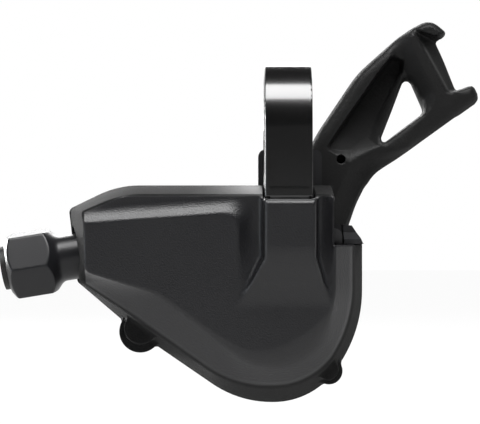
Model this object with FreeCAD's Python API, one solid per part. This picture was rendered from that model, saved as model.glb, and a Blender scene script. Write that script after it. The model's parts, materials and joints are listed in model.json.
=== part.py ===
import FreeCAD, Part
import math
import os

# Trigger gear shifter with one thumb lever, in millimetres.
# Origin: centre of the handlebar clamp. +X runs along the bar, away from the cable adjuster.
# +Z points from the body to the bar, and the moulded cover faces -Y.

# Clamp
BAR_DIAMETER = 22.2
BAND_WIDTH = 10.0
BAND_THICKNESS = 2.4
FOOT_WIDTH = 8.0
FOOT_DEPTH = 3.9
FOOT_LENGTH = 5.6
CLAMP_GAP = 1.0
REAR_LEG_DROP = 0.7
BOLT_DIAMETER = 5.0
BOLT_DROP = 5.1
BOLT_HEAD_DIAMETER = 8.0
BOLT_HEAD_HEIGHT = 3.6
BOLT_HEX = 4.0
SADDLE_FLOOR = 3.5

# Rear lug of the housing, behind the band
LUG_LEFT = -6.1
LUG_RIGHT = 7.5
LUG_TOP = -3.9
LUG_BACK = 15.9
LUG_ROUND = 1.6

# Housing depths along Y
FACE_Y = -12.0
RIM_Y = -6.0
PARTING_Y = 4.0
REAR_Y = 14.0
COVER_WALL = 1.8
TRAY_WALL = 1.8
FLOOR = 2.0
REAR_TAPER = 1.5
SEAM = 0.05
FIT = 0.15

# Corners of the moulded outlines as (x, z, corner radius), clockwise seen from the front
PARTING_OUTLINE = [(-46.0, -16.7, 1.3), (-35.7, -11.7, 20.0), (15.7, -11.7, 2.0), (15.7, -42.2, 28.0),
                   (5.6, -57.3, 16.0), (-10.2, -57.3, 22.0), (-32.1, -42.3, 60.0), (-44.2, -32.0, 1.2)]
RIM_OUTLINE = [(-43.5, -16.9, 1.5), (-34.2, -13.4, 20.0), (13.4, -13.4, 2.0), (13.4, -40.8, 27.0),
               (4.9, -53.2, 15.0), (-11.4, -53.2, 22.0), (-32.4, -38.4, 60.0), (-42.7, -31.6, 1.0)]
FACE_OUTLINE = [(-42.0, -17.5, 0.8), (-33.4, -14.5, 20.0), (9.2, -14.5, 1.5), (9.2, -37.2, 16.0),
                (2.3, -47.2, 13.0), (-8.5, -47.2, 11.0), (-26.6, -33.8, 12.0), (-41.5, -29.4, 2.2)]

# Scoop along the top of the cover
SCOOP_LEFT = (-42.0, -19.4)
SCOOP_RIGHT = (-11.6, -17.2)
SCOOP_FLOOR_Y = -7.8
SCOOP_RAMP = 2.6
SCOOP_REACH = 8.0

# Pedestal over the band's foot, and the troughs beside it
PEDESTAL_Y = -16.0
PEDESTAL_WALL = 1.0
PEDESTAL_GAP = 0.2
PEDESTAL_TOP = -14.6
PEDESTAL_FRONT_END = -26.0
PEDESTAL_TOE = -34.0
PEDESTAL_FLARE_LEFT = 3.7
PEDESTAL_FLARE_RIGHT = 2.0
TROUGH_FLOOR_Y = -8.2
TROUGH_LEFT_WIDTH = 4.4
TROUGH_RIGHT_WIDTH = 3.7

# Notch at the cover's upper right, and the tray's corner that shows in it
NOTCH_X = 9.1
NOTCH_Z = -24.0
CORNER_X = 11.4
CORNER_TOP = -19.8
CORNER_Y = -5.0
CORNER_FACE = 1.1
CORNER_SLOPE_DEPTH = 3.0
CORNER_SLOPE_RISE = 1.4

# Screw ears as (x, z, radius)
LEFT_EAR = (-30.6, -42.1, 4.3)
RIGHT_EAR = (8.4, -50.3, 2.9)
EAR_FRONT_Y = -3.0
SCREW_DIAMETER = 2.2
SCREW_HEAD_DIAMETER = 4.0
SCREW_HEAD_HEIGHT = 1.4
SCREW_BITE = 4.5

# Spindle and the stack of parts on it, from the tray's floor towards the cover
AXLE_X = -1.0
AXLE_Z = -32.0
AXLE_DIAMETER = 6.0
RUNNING_CLEARANCE = 0.05
STACK_GAP = 0.2
PAWL_SPRING_ROOM = 1.2
PIN_HEAD = 0.6
BASE_PLATE_THICKNESS = 1.2
DRIVE_PLATE_THICKNESS = 1.2
RATCHET_THICKNESS = 1.2
DRUM_WIDTH = 6.0
DRUM_RADIUS = 11.0
DRUM_FLANGE = 0.8
DRUM_HUB_RADIUS = 5.0
DRUM_COLLAR_RADIUS = 6.6
DRUM_GROOVE_DEPTH = 1.2
DRUM_HUB_FLAT = 4.2
SPRING_STRIP = 0.5
SPRING_PITCH = 1.8
DRUM_SPRING_WIDTH = 2.5
RETURN_SPRING_WIDTH = 2.0
TOP_PLATE_THICKNESS = 1.2
WASHER_THICKNESS = 0.6
WASHER_RADIUS = 5.0
NUT_THICKNESS = 2.6
NUT_FLATS = 8.0

# Ratchet and pawls
PAWL_PIVOT_RADIUS = 12.3
PAWL_REACH_IN = 3.3
RATCHET_TIP_RADIUS = PAWL_PIVOT_RADIUS - PAWL_REACH_IN
TOOTH_HEIGHT = 1.2
TOOTH_COUNT = 20
TOOTH_GAP = 0.1
PAWL_LEAD_DEG = 43.6
PAWL_EYE_RADIUS = 1.9
PAWL_PIN_DIAMETER = 1.8
HOLD_NOSE_DEG = 205.0
DRIVE_TEETH_AHEAD = 6
PAWL_STEP_RADIUS = 1.3
PAWL_SPRING_WIRE = 0.34
PAWL_SPRING_TURNS = 3
PAWL_LEG_LENGTH = 3.0
PAWL_LEG_TURN_DEG = 90.0

# Steel plates and posts
DRIVE_DISC_RADIUS = 8.4
PLATE_LEFT = -15.4
PLATE_TOP = -20.7
PLATE_BOTTOM = -46.4
PLATE_ROUND = 3.0
TOP_PLATE_FOOT = [(-28.0, 2.0), (5.0, -37.0, 4.0), (-8.0, -45.0, 4.0), (-44.0, 2.5)]
POST_RADIUS = 1.6
POSTS = [(-13.4, -23.4), (-11.6, -42.0), (9.4, -22.6)]
PLATE_SCREWS = [(-13.2, -34.6), (8.9, -37.2)]

# Lever
LEVER_FRONT_Y = 16.5
LEVER_DEPTH = 6.5
LEVER_HUB_RADIUS = 8.0
LEVER_OUTLINE = [(-8.4, -29.0, 4.0), (7.4, 0.7, 30.0), (20.2, 17.2, 20.0), (30.8, 25.0, 3.0),
                 (34.9, 21.7, 0.8), (33.1, 20.0, 0.8), (36.7, 9.0, 0.8), (40.7, 10.5, 1.2),
                 (42.6, 7.2, 1.6), (19.8, -8.8, 12.0), (13.4, -21.6, 16.0), (7.0, -36.0, 6.0)]
LEVER_WINDOW = [(26.4, 13.4, 1.2), (30.4, 4.4, 1.3), (19.6, -3.8, 0.8)]
LEVER_POCKET = [(8.9, -3.3, 0.8), (20.2, 12.9, 6.0), (23.2, 16.6, 1.0), (26.2, 16.0, 1.0),
                (26.8, 13.2, 0.5), (20.2, -3.0, 0.5), (14.0, -6.7, 0.8)]
LEVER_FRONT_ROUND = 1.5
LEVER_BACK_ROUND = 0.8
PAD_LINE = [(25.8, 21.4, 3.0), (30.8, 25.0, 3.0), (34.9, 21.7, 0.8), (33.1, 20.0, 0.9),
            (36.7, 9.0, 0.8), (40.7, 10.5, 1.1), (42.6, 7.2, 1.6), (37.6, 3.9, 1.0),
            (31.6, 4.8, 1.5), (26.4, 17.5, 2.0)]
PAD_DEPTH = 11.5
PAD_ROUND = 0.7
RIVET_HOLE = (11.9, -5.9)
RIVET_HOLE_RADIUS = 0.9
RIVET_HOLE_DEPTH = 3.0
SLEEVE_RADIUS = 4.6
BUSH_WALL = 0.8
SLEEVE_FLAT = 3.9
THRUST_WASHER_RADIUS = 7.6
THRUST_WASHER_THICKNESS = 0.5

# Slanted faces of the lever's front: lines of (x, z) points, and (reach, depth) steps beside them
WEB_LINE = [(8.9, -3.3), (20.2, 12.9)]
WEB_STEPS = [(-4.0, 0.8), (-2.0, 1.0), (13.0, 4.6), (24.0, 4.6)]
PAD_RIDGE = [(27.6, 22.2), (35.2, 8.4)]
PAD_LEFT_STEPS = [(0.0, 0.0), (2.0, 0.3), (4.0, 1.2), (5.6, 2.4), (7.0, 2.4)]
THUMB_STEPS = [(0.0, 0.0), (0.5, 0.6), (4.2, 9.8), (7.0, 9.8)]
THUMB_REGION = [(27.4, 22.3), (33.1, 20.0), (38.0, 20.0), (38.0, 9.6), (35.2, 8.4)]
ROOT_LINE = [(13.7, -7.1), (7.2, -22.3)]
ROOT_STEPS = [(0.0, 0.0), (4.4, 2.4), (6.4, 6.0), (9.0, 6.0)]
SHOULDER_LINE = [(11.0, -10.0), (30.0, 3.4)]
SHOULDER_STEPS = [(0.0, 0.0), (12.0, 6.6), (30.0, 6.6)]
HORN_LINE = [(44.2, 9.2), (33.6, 1.6)]
HORN_STEPS = [(0.0, 0.0), (6.0, 1.9)]
HORN_ROOT_LINE = [(37.6, 2.4), (33.0, 9.0)]
HORN_ROOT_STEPS = [(0.0, 0.0), (8.0, 2.5)]
LEVER_SCREW_RADIUS = 5.0
LEVER_SCREW_HEAD = 1.8
LEVER_SCREW_THREAD = 1.9
LEVER_SCREW_BITE = 6.5
LEVER_SCREW_SOCKET = 3.0

# Cable adjuster: its axis leans from the bar direction by a few degrees
ADJUSTER_X = -53.6
ADJUSTER_Z = -28.1
ADJUSTER_TILT_DEG = 9.3
KNOB_HALF_LENGTH = 3.6
KNOB_CORNER_RADIUS = 7.45
KNOB_TURN_DEG = 7.0
KNOB_FRONT_CONE = 1.45
KNOB_REAR_CONE = 2.4
KNOB_NOSE_RADIUS = 5.3
NECK_RADIUS = 4.75
NECK_LENGTH = 7.0
BARREL_RADIUS = 3.0
BARREL_FLAT = 2.4
BARREL_RING_RADIUS = 4.6
BARREL_RING_LENGTH = 1.1
BARREL_TAIL = 5.0
CASING_RADIUS = 2.1
CASING_DEPTH = 9.0
CABLE_RADIUS = 0.8
SOCKET_CLEARANCE = 0.08
SOCKET_RADIUS = 5.9
SOCKET_START = 8.0
SOCKET_FLOOR = 3.0
ADJUSTER_SPRING_WIRE = 0.5

# Plug over the hole through which an inner cable is fed
PLUG_RADIUS = 3.0
PLUG_Y = 8.6
PLUG_Z = -30.5
PLUG_HEAD = 0.8

# Places worked out from the sizes above
BAR_RADIUS = BAR_DIAMETER / 2
BAND_OUTER = BAR_RADIUS + BAND_THICKNESS
BOLT_Z = -BAR_RADIUS - BOLT_DROP
FOOT_BACK_Y = -BAND_OUTER + FOOT_DEPTH
SADDLE_FRONT_Y = FOOT_BACK_Y + CLAMP_GAP
SADDLE_BOTTOM = BOLT_Z - SADDLE_FLOOR
FOOT_BOTTOM = -BAND_OUTER - FOOT_LENGTH
TRAY_FLOOR_Y = REAR_Y - FLOOR
BASE_PLATE_Y = TRAY_FLOOR_Y - BASE_PLATE_THICKNESS
DRIVE_PLATE_Y = BASE_PLATE_Y - STACK_GAP - DRIVE_PLATE_THICKNESS
RATCHET_Y = DRIVE_PLATE_Y - PAWL_SPRING_ROOM - RATCHET_THICKNESS
DRUM_BACK_Y = RATCHET_Y - PIN_HEAD - STACK_GAP
DRUM_Y = DRUM_BACK_Y - DRUM_WIDTH
GROOVE_Y = DRUM_Y + DRUM_WIDTH / 2
ADJUSTER_CENTRE = (ADJUSTER_X, GROOVE_Y, ADJUSTER_Z)
DRUM_SPRING_Y = DRUM_Y - STACK_GAP - DRUM_SPRING_WIDTH
TOP_PLATE_Y = DRUM_SPRING_Y - STACK_GAP - TOP_PLATE_THICKNESS
WASHER_Y = TOP_PLATE_Y - WASHER_THICKNESS
NUT_Y = WASHER_Y - NUT_THICKNESS
AXLE_RADIUS = AXLE_DIAMETER / 2
AXLE_FRONT_Y = NUT_Y - 0.6
PLATE_RIGHT = PARTING_OUTLINE[2][0] - TRAY_WALL - REAR_TAPER - 2 * FIT
LEVER_BACK_Y = LEVER_FRONT_Y + LEVER_DEPTH
TOOTH_STEP_DEG = 360.0 / TOOTH_COUNT
RATCHET_ROOT_RADIUS = RATCHET_TIP_RADIUS - TOOTH_HEIGHT
DRIVE_NOSE_DEG = HOLD_NOSE_DEG + DRIVE_TEETH_AHEAD * TOOTH_STEP_DEG
PAWL_PIN_RADIUS = PAWL_PIN_DIAMETER / 2
SCREW_RADIUS = SCREW_DIAMETER / 2
BUSH_OUTER = AXLE_RADIUS + RUNNING_CLEARANCE + BUSH_WALL
SOCKET_BORE = NECK_RADIUS + SOCKET_CLEARANCE
HUB_FACE_Y = LEVER_FRONT_Y - THRUST_WASHER_THICKNESS - STACK_GAP
RETURN_SPRING_Y = HUB_FACE_Y - STACK_GAP - RETURN_SPRING_WIDTH

V = FreeCAD.Vector
ALONG_X = V(1, 0, 0)
ALONG_Y = V(0, 1, 0)
ALONG_Z = V(0, 0, 1)


def box(x0, x1, y0, y1, z0, z1):
    return Part.makeBox(x1 - x0, y1 - y0, z1 - z0, V(x0, y0, z0))


def rod(x, z, radius, y0, y1):
    """Round bar along the depth of the shifter."""
    return Part.makeCylinder(radius, y1 - y0, V(x, y0, z), ALONG_Y)


def spindle_ring(outer, inner, y0, y1):
    """Washer-like ring about the spindle's axis."""
    ring = rod(AXLE_X, AXLE_Z, outer, y0, y1)
    return ring.cut(rod(AXLE_X, AXLE_Z, inner, y0 - 1, y1 + 1)) if inner else ring


def polar(radius, angle_deg, centre=(AXLE_X, AXLE_Z)):
    angle = math.radians(angle_deg)
    return centre[0] + radius * math.cos(angle), centre[1] + radius * math.sin(angle)


def moved_corners(corners, inset):
    """The same outline with every edge moved inwards, its corner radii following."""
    count = len(corners)
    lines = []
    for index in range(count):
        x0, z0, _ = corners[index]
        x1, z1, _ = corners[(index + 1) % count]
        length = math.hypot(x1 - x0, z1 - z0)
        dx, dz = (x1 - x0) / length, (z1 - z0) / length
        lines.append((x0 + dz * inset, z0 - dx * inset, dx, dz))
    result = []
    for index in range(count):
        ax, az, adx, adz = lines[index - 1]
        bx, bz, bdx, bdz = lines[index]
        turn = adx * bdz - adz * bdx
        reach = ((bx - ax) * bdz - (bz - az) * bdx) / turn
        radius = corners[index][2]
        inner = radius - inset if turn < 0 else radius + inset
        result.append((ax + adx * reach, az + adz * reach, max(inner, 0.3)))
    return result


def rounded_wire(corners, depth, inset=0.0):
    """Closed outline of straight runs and corner arcs, in a plane square to Y."""
    if inset:
        corners = moved_corners(corners, inset)
    count = len(corners)
    arcs = []
    for index in range(count):
        px, pz, _ = corners[index - 1]
        x, z, radius = corners[index]
        nx, nz, _ = corners[(index + 1) % count]
        before = V(x - px, 0, z - pz).normalize()
        after = V(nx - x, 0, nz - z).normalize()
        half_turn = before.getAngle(after) / 2
        corner = V(x, depth, z)
        tangent = radius * math.tan(half_turn)
        inward = (after - before).normalize()
        middle = corner + inward * (radius / math.cos(half_turn) - radius)
        arcs.append((corner - before * tangent, middle, corner + after * tangent))
    edges = []
    for index in range(count):
        start, middle, end = arcs[index]
        edges.append(Part.Arc(start, middle, end).toShape())
        edges.append(Part.makeLine(end, arcs[(index + 1) % count][0]))
    return Part.Wire(edges)


def prism(corners, y0, y1, inset=0.0):
    """Solid between two depths, with a rounded outline."""
    return Part.Face(rounded_wire(corners, y0, inset)).extrude(V(0, y1 - y0, 0))


def sharp_prism(points, y0, y1):
    """Solid between two depths, with a plain polygon as its outline."""
    corners = [V(x, y0, z) for x, z in points]
    return Part.Face(Part.makePolygon(corners + corners[:1])).extrude(V(0, y1 - y0, 0))


def side_prism(points, x0, x1):
    """Solid between two places along the bar, from a profile of (y, z) points."""
    corners = [V(x0, y, z) for y, z in points]
    return Part.Face(Part.makePolygon(corners + corners[:1])).extrude(V(x1 - x0, 0, 0))


def joined(first, others):
    return first.fuse(others).removeSplitter()


def cover_form(inset=0.0, front=FACE_Y, back=PARTING_Y):
    """The cover's outer form, or the same form drawn in by a wall."""
    wires = [rounded_wire(PARTING_OUTLINE, back, inset), rounded_wire(RIM_OUTLINE, RIM_Y, inset),
             rounded_wire(FACE_OUTLINE, front, inset)]
    return Part.makeLoft(wires, True, True)


def scoop_tool(sink=0.0):
    """What the long scoop takes off, with a round end beside the pedestal."""
    left = V(SCOOP_LEFT[0], 0, SCOOP_LEFT[1] - sink)
    right = V(SCOOP_RIGHT[0], 0, SCOOP_RIGHT[1] - sink)
    run = (right - left).normalize()
    rise = V(-run.z, 0, run.x)
    front = FACE_Y - 4

    def point(reach, depth):
        return right + rise * reach + V(0, depth + sink, 0)

    ramp = Part.Arc(point(0, FACE_Y), point(SCOOP_RAMP * 0.3, FACE_Y * 0.35 + SCOOP_FLOOR_Y * 0.65),
                    point(SCOOP_RAMP, SCOOP_FLOOR_Y)).toShape()
    outline = [point(SCOOP_RAMP, SCOOP_FLOOR_Y), point(SCOOP_REACH, SCOOP_FLOOR_Y),
               point(SCOOP_REACH, front), point(0, front), point(0, FACE_Y)]
    profile = Part.Face(Part.Wire([ramp] + Part.makePolygon(outline).Edges))
    straight = profile.extrude(run * -(right - left).Length * 1.3)
    turn_centre = right + rise * SCOOP_RAMP
    low = Part.Face(Part.Wire([ramp] + Part.makePolygon(
        [point(SCOOP_RAMP, SCOOP_FLOOR_Y), point(SCOOP_RAMP, front), point(0, front),
         point(0, FACE_Y)]).Edges))
    end = low.revolve(turn_centre, V(0, -1, 0), 90)
    terrace = Part.Face(Part.makePolygon([point(SCOOP_RAMP, SCOOP_FLOOR_Y),
                                          point(SCOOP_REACH, SCOOP_FLOOR_Y), point(SCOOP_REACH, front),
                                          point(SCOOP_RAMP, front), point(SCOOP_RAMP, SCOOP_FLOOR_Y)]))
    return straight.fuse([end, terrace.extrude(run * SCOOP_RAMP * 1.4)])


def pedestal_half():
    return FOOT_WIDTH / 2 + PEDESTAL_GAP + PEDESTAL_WALL


def trough_tools(sink=0.0):
    """What the two troughs beside the pedestal take off, each with a curved outer flank."""
    half = pedestal_half()
    top = PARTING_OUTLINE[1][1] + 2
    tools = []
    for side, width, flare, toe in ((-1, TROUGH_LEFT_WIDTH, PEDESTAL_FLARE_LEFT, 0.8),
                                    (1, TROUGH_RIGHT_WIDTH, PEDESTAL_FLARE_RIGHT, 0.0)):
        near = side * half
        far = side * (half + width)
        flank = Part.Arc(V(far, FACE_Y + sink, top), V(near + (far - near) * 0.52, TROUGH_FLOOR_Y
                         + (FACE_Y - TROUGH_FLOOR_Y) * 0.28 + sink, top),
                         V(near + (far - near) * 0.1, TROUGH_FLOOR_Y + sink, top)).toShape()
        inner = near - side * 0.05
        rest = Part.makePolygon([V(near + (far - near) * 0.1, TROUGH_FLOOR_Y + sink, top),
                                 V(inner, TROUGH_FLOOR_Y + sink, top), V(inner, FACE_Y - 4, top),
                                 V(far, FACE_Y - 4, top), V(far, FACE_Y + sink, top)])
        slot = Part.Face(Part.Wire([flank] + rest.Edges)).extrude(V(0, 0, -30))
        outline = sharp_prism([(near, top), (far + side * 0.1, top), (far + side * 0.1, PEDESTAL_TOE + 3),
                               (near + side * flare, PEDESTAL_TOE + 1.5 + toe),
                               (near, PEDESTAL_FRONT_END)], FACE_Y - 5, RIM_Y)
        tools.append(slot.common(outline))
    return tools


def pedestal(shrink=0.0):
    """Raised block over the band's foot, sloping down to the face and flaring as it goes."""
    half = pedestal_half() - shrink
    front = PEDESTAL_Y + shrink
    side = [(front, PEDESTAL_TOP - shrink), (front, PEDESTAL_FRONT_END), (FACE_Y + 0.2, PEDESTAL_TOE),
            (RIM_Y, PEDESTAL_TOE), (RIM_Y, PEDESTAL_TOP - shrink)]
    body = side_prism(side, -half - 8, half + 8)
    plan = sharp_prism([(-half, PEDESTAL_TOP), (half, PEDESTAL_TOP), (half, PEDESTAL_FRONT_END),
                        (half + PEDESTAL_FLARE_RIGHT, PEDESTAL_TOE), (-half - PEDESTAL_FLARE_LEFT,
                        PEDESTAL_TOE), (-half, PEDESTAL_FRONT_END)], FACE_Y - 6, PARTING_Y)
    return body.common(plan)


def adjuster_axis():
    """Unit vector along the adjuster, pointing out of the housing."""
    tilt = math.radians(ADJUSTER_TILT_DEG)
    return V(-math.cos(tilt), 0, -math.sin(tilt))


def adjuster_rod(radius, start, end):
    """Round bar on the adjuster's axis, between two distances from the knob's middle."""
    outward = adjuster_axis()
    return Part.makeCylinder(radius, end - start, V(*ADJUSTER_CENTRE) + outward * start, outward)


def front_cover():
    """Moulded cover: bevelled rim, scoop, pedestal and the notch at its upper right."""
    outer = cover_form().cut([scoop_tool()] + trough_tools())
    outer = joined(outer, [pedestal()])
    for x, z, radius in (LEFT_EAR, RIGHT_EAR):
        outer = outer.fuse(rod(x, z, radius - 0.9, EAR_FRONT_Y, PARTING_Y))
    room = cover_form(COVER_WALL, FACE_Y + COVER_WALL, PARTING_Y + 0.01)
    room = room.cut([scoop_tool(COVER_WALL)] + trough_tools(COVER_WALL))
    for x, z, radius in (LEFT_EAR, RIGHT_EAR):
        room = room.cut(rod(x, z, radius - 0.9, EAR_FRONT_Y, PARTING_Y + 1))
    shell = outer.cut(room)
    foot_half = FOOT_WIDTH / 2 + PEDESTAL_GAP
    foot_room = box(-foot_half, foot_half, -BAND_OUTER - PEDESTAL_GAP, PARTING_Y + 1,
                    FOOT_BOTTOM - 0.6, BAR_RADIUS)
    band_half = BAND_WIDTH / 2 + 0.3
    band_room = box(-band_half, band_half, -BAND_OUTER - PEDESTAL_GAP, PARTING_Y + 1,
                    PEDESTAL_TOP + 0.2, BAR_RADIUS)
    saddle_room = box(-band_half, band_half, SADDLE_FRONT_Y - 0.3, PARTING_Y + 1,
                      SADDLE_BOTTOM - 0.3, BAR_RADIUS)
    notch = box(NOTCH_X, PARTING_OUTLINE[2][0] + 2, FACE_Y - 5, PARTING_Y + 1, NOTCH_Z, 0)
    neck_room = adjuster_rod(SOCKET_RADIUS + 0.2, -16.5, -2)
    shell = shell.cut([foot_room, band_room, saddle_room, notch, neck_room])
    for x, z, radius in (LEFT_EAR, RIGHT_EAR):
        shell = shell.cut(rod(x, z, SCREW_RADIUS, PARTING_Y - SCREW_BITE - 0.3, PARTING_Y + 1))
    return shell


def tray_form():
    rear = moved_corners(PARTING_OUTLINE, REAR_TAPER)
    return Part.makeLoft([rounded_wire(PARTING_OUTLINE, PARTING_Y + SEAM), rounded_wire(rear, REAR_Y)],
                         True, True)


def saddle():
    """Block under the bar, with the bar's own curve cut into its top."""
    half = BAND_WIDTH / 2
    block = box(-half, half, SADDLE_FRONT_Y, BAR_RADIUS, SADDLE_BOTTOM, -2.0)
    return block.cut(Part.makeCylinder(BAR_RADIUS, BAND_WIDTH + 2, V(-half - 1, 0, 0), ALONG_X))


def rear_lug():
    """Wall behind the band, with rounded shoulders and a pocket for the band's hooked end."""
    parts = []
    for front, bottom in ((BAR_RADIUS - 0.6, SADDLE_BOTTOM), (TRAY_FLOOR_Y, SADDLE_BOTTOM - 3.5)):
        outline = [(LUG_LEFT, LUG_TOP, LUG_ROUND), (LUG_RIGHT, LUG_TOP, LUG_ROUND),
                   (LUG_RIGHT, bottom, 0.5), (LUG_LEFT, bottom, 0.5)]
        parts.append(prism(outline, front, LUG_BACK))
    half = BAND_WIDTH / 2 + 0.1
    pocket = box(-half, half, BAR_RADIUS - 1, BAND_OUTER + SEAM, -BAR_RADIUS - REAR_LEG_DROP - 0.1, 0)
    return parts[0].fuse(parts[1]).removeSplitter().cut(pocket)


def socket_boss():
    """Tube in the housing that the adjuster's neck turns in."""
    inner_end = -KNOB_HALF_LENGTH - KNOB_REAR_CONE - NECK_LENGTH - STACK_GAP
    tube = adjuster_rod(SOCKET_RADIUS, inner_end - SOCKET_FLOOR, -SOCKET_START)
    inside = cover_form(COVER_WALL + FIT, FACE_Y + COVER_WALL + FIT, PARTING_Y + SEAM + FIT)
    return tube.common(inside.fuse(tray_form())), inner_end


def base_housing():
    """Moulded tray: walls, floor, clamp saddle, rear lug, adjuster socket and ears."""
    tray = tray_form()
    room = prism(PARTING_OUTLINE, PARTING_Y - 1, TRAY_FLOOR_Y, TRAY_WALL + REAR_TAPER)
    right = PARTING_OUTLINE[2][0]
    notch = sharp_prism([(NOTCH_X + 0.4, 0), (NOTCH_X + 0.4, CORNER_TOP), (right - 2.5, CORNER_TOP - 0.3),
                         (right - 0.8, CORNER_TOP - 2.9), (right - 0.4, CORNER_TOP - 3.9),
                         (right + 0.5, CORNER_TOP - 4.6), (20, 0)], CORNER_Y - 1, REAR_Y + 1)
    tray = tray.cut([room, notch])
    slope_y = CORNER_Y + CORNER_SLOPE_DEPTH
    slope_foot = NOTCH_Z + CORNER_FACE
    profile = [(PARTING_Y + 1, NOTCH_Z + FIT), (CORNER_Y, NOTCH_Z + FIT), (CORNER_Y, slope_foot),
               (slope_y, slope_foot + CORNER_SLOPE_RISE), (slope_y, CORNER_TOP), (PARTING_Y + 1, CORNER_TOP)]
    corner = side_prism(profile, CORNER_X, right - 0.1).cut(notch)
    tube, socket_floor = socket_boss()
    ears = [rod(x, z, radius, PARTING_Y + SEAM, REAR_Y) for x, z, radius in (LEFT_EAR, RIGHT_EAR)]
    hub = spindle_ring(LEVER_HUB_RADIUS, 0, TRAY_FLOOR_Y, HUB_FACE_Y)
    body = joined(tray, [saddle(), rear_lug(), corner, tube, hub] + ears)
    cuts = [adjuster_rod(SOCKET_BORE, socket_floor, 0)]
    cuts.append(keyed_barrel(SOCKET_CLEARANCE, socket_floor - SOCKET_FLOOR - 1, socket_floor + 1))
    cuts.append(rod(AXLE_X, AXLE_Z, SLEEVE_RADIUS + RUNNING_CLEARANCE, TRAY_FLOOR_Y - 1, REAR_Y + 3))
    cuts.append(rod(AXLE_X, AXLE_Z, LEVER_HUB_RADIUS - 0.8, RETURN_SPRING_Y - STACK_GAP, REAR_Y + 3))
    cuts.append(Part.makeCylinder(BAR_RADIUS, BAND_WIDTH + 8, V(-BAND_WIDTH / 2 - 4, 0, 0), ALONG_X))
    cuts.append(rod(0, BOLT_Z, BOLT_DIAMETER / 2 + 0.1, SADDLE_FRONT_Y - 1, LUG_BACK + 1))
    cuts.append(rod(0, BOLT_Z, BOLT_HEAD_DIAMETER / 2 + 0.15, LUG_BACK - BOLT_HEAD_HEIGHT, LUG_BACK + 1))
    for x, z, radius in (LEFT_EAR, RIGHT_EAR):
        cuts.append(rod(x, z, SCREW_RADIUS + 0.1, PARTING_Y - 1, REAR_Y + 1))
        cuts.append(rod(x, z, SCREW_HEAD_DIAMETER / 2 + 0.1, REAR_Y - SCREW_HEAD_HEIGHT - 0.2, REAR_Y + 1))
    for x, z in PLATE_SCREWS:
        cuts.append(rod(x, z, SCREW_RADIUS, TRAY_FLOOR_Y - 1, REAR_Y + 1))
    plug_x = PARTING_OUTLINE[2][0]
    cuts.append(Part.makeCylinder(PLUG_RADIUS, 8, V(plug_x - 4, PLUG_Y, PLUG_Z), ALONG_X))
    return body.cut(cuts)


def clamp_band():
    """One folded strip: round the bar, hooked behind it, with a thick foot under the pedestal."""
    half = BAND_WIDTH / 2
    ring = Part.makeCylinder(BAND_OUTER, BAND_WIDTH, V(-half, 0, 0), ALONG_X)
    ring = ring.common(box(-half, half, -BAND_OUTER, BAND_OUTER, 0, BAND_OUTER))
    front_leg = box(-half, half, -BAND_OUTER, -BAR_RADIUS, -BAND_OUTER, 0)
    foot = box(-half, half, -BAND_OUTER, FOOT_BACK_Y, FOOT_BOTTOM, -BAND_OUTER + 1.0)
    rear_leg = box(-half, half, BAR_RADIUS, BAND_OUTER, -BAR_RADIUS - REAR_LEG_DROP, 0)
    band = joined(ring, [front_leg, foot, rear_leg])
    slim = FOOT_WIDTH / 2
    for side in (-1, 1):
        trim = sharp_prism([(side * (half + 1), -BAND_OUTER + 0.6), (side * half, -BAND_OUTER + 0.6),
                            (side * slim, -BAND_OUTER - 0.8), (side * slim, FOOT_BOTTOM - 1),
                            (side * (half + 1), FOOT_BOTTOM - 1)], -BAND_OUTER - 1, 0)
        band = band.cut(trim)
    band = band.cut([Part.makeCylinder(BAR_RADIUS, BAND_WIDTH + 2, V(-half - 1, 0, 0), ALONG_X),
                     rod(0, BOLT_Z, BOLT_DIAMETER / 2, -BAND_OUTER - 1, 0)])
    return band


def clamp_bolt():
    """Socket cap screw, its head in the rear lug and its end in the band's foot."""
    shank_radius = BOLT_DIAMETER / 2
    head_y = LUG_BACK - BOLT_HEAD_HEIGHT
    shank = rod(0, BOLT_Z, shank_radius, -BAND_OUTER + 0.3, head_y)
    head = rod(0, BOLT_Z, BOLT_HEAD_DIAMETER / 2, head_y, LUG_BACK - 0.3)
    socket = hexagon(0, BOLT_Z, BOLT_HEX, head_y + 1.0, LUG_BACK + 1)
    return shank.fuse(head).removeSplitter().cut(socket)


def hexagon(x, z, flats, y0, y1, turn_deg=0.0):
    corner = flats / 2 / math.cos(math.pi / 6)
    points = [polar(corner, turn_deg + 60 * step, (x, z)) for step in range(6)]
    return sharp_prism(points, y0, y1)


def mechanism_plate(y0, thickness):
    outline = [(PLATE_LEFT, PLATE_TOP, PLATE_ROUND), (PLATE_RIGHT, PLATE_TOP, PLATE_ROUND),
               (PLATE_RIGHT, -38.0, 4.0), (6.8, PLATE_BOTTOM, 3.0), (-10.0, PLATE_BOTTOM, 4.0),
               (PLATE_LEFT, -41.0, 4.0)]
    plate = prism(outline, y0, y0 + thickness)
    plate = plate.common(prism(PARTING_OUTLINE, y0 - 1, y0 + 3, TRAY_WALL + REAR_TAPER + FIT))
    return plate.cut([rod(x, z, POST_RADIUS * 0.6, y0 - 1, y0 + thickness + 1) for x, z in POSTS])


def base_plate():
    """Steel plate on the tray's floor, which carries the posts and the holding pawl's pin."""
    plate = mechanism_plate(BASE_PLATE_Y, BASE_PLATE_THICKNESS)
    pin_x, pin_z = pawl_pivot(HOLD_NOSE_DEG)
    cuts = [spindle_ring(SLEEVE_RADIUS + 0.3, 0, BASE_PLATE_Y - 1, TRAY_FLOOR_Y + 1),
            rod(pin_x, pin_z, PAWL_PIN_RADIUS, BASE_PLATE_Y - 1, TRAY_FLOOR_Y + 1)]
    cuts += [rod(x, z, SCREW_RADIUS, BASE_PLATE_Y - 1, TRAY_FLOOR_Y + 1) for x, z in PLATE_SCREWS]
    return plate.cut(cuts)


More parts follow.
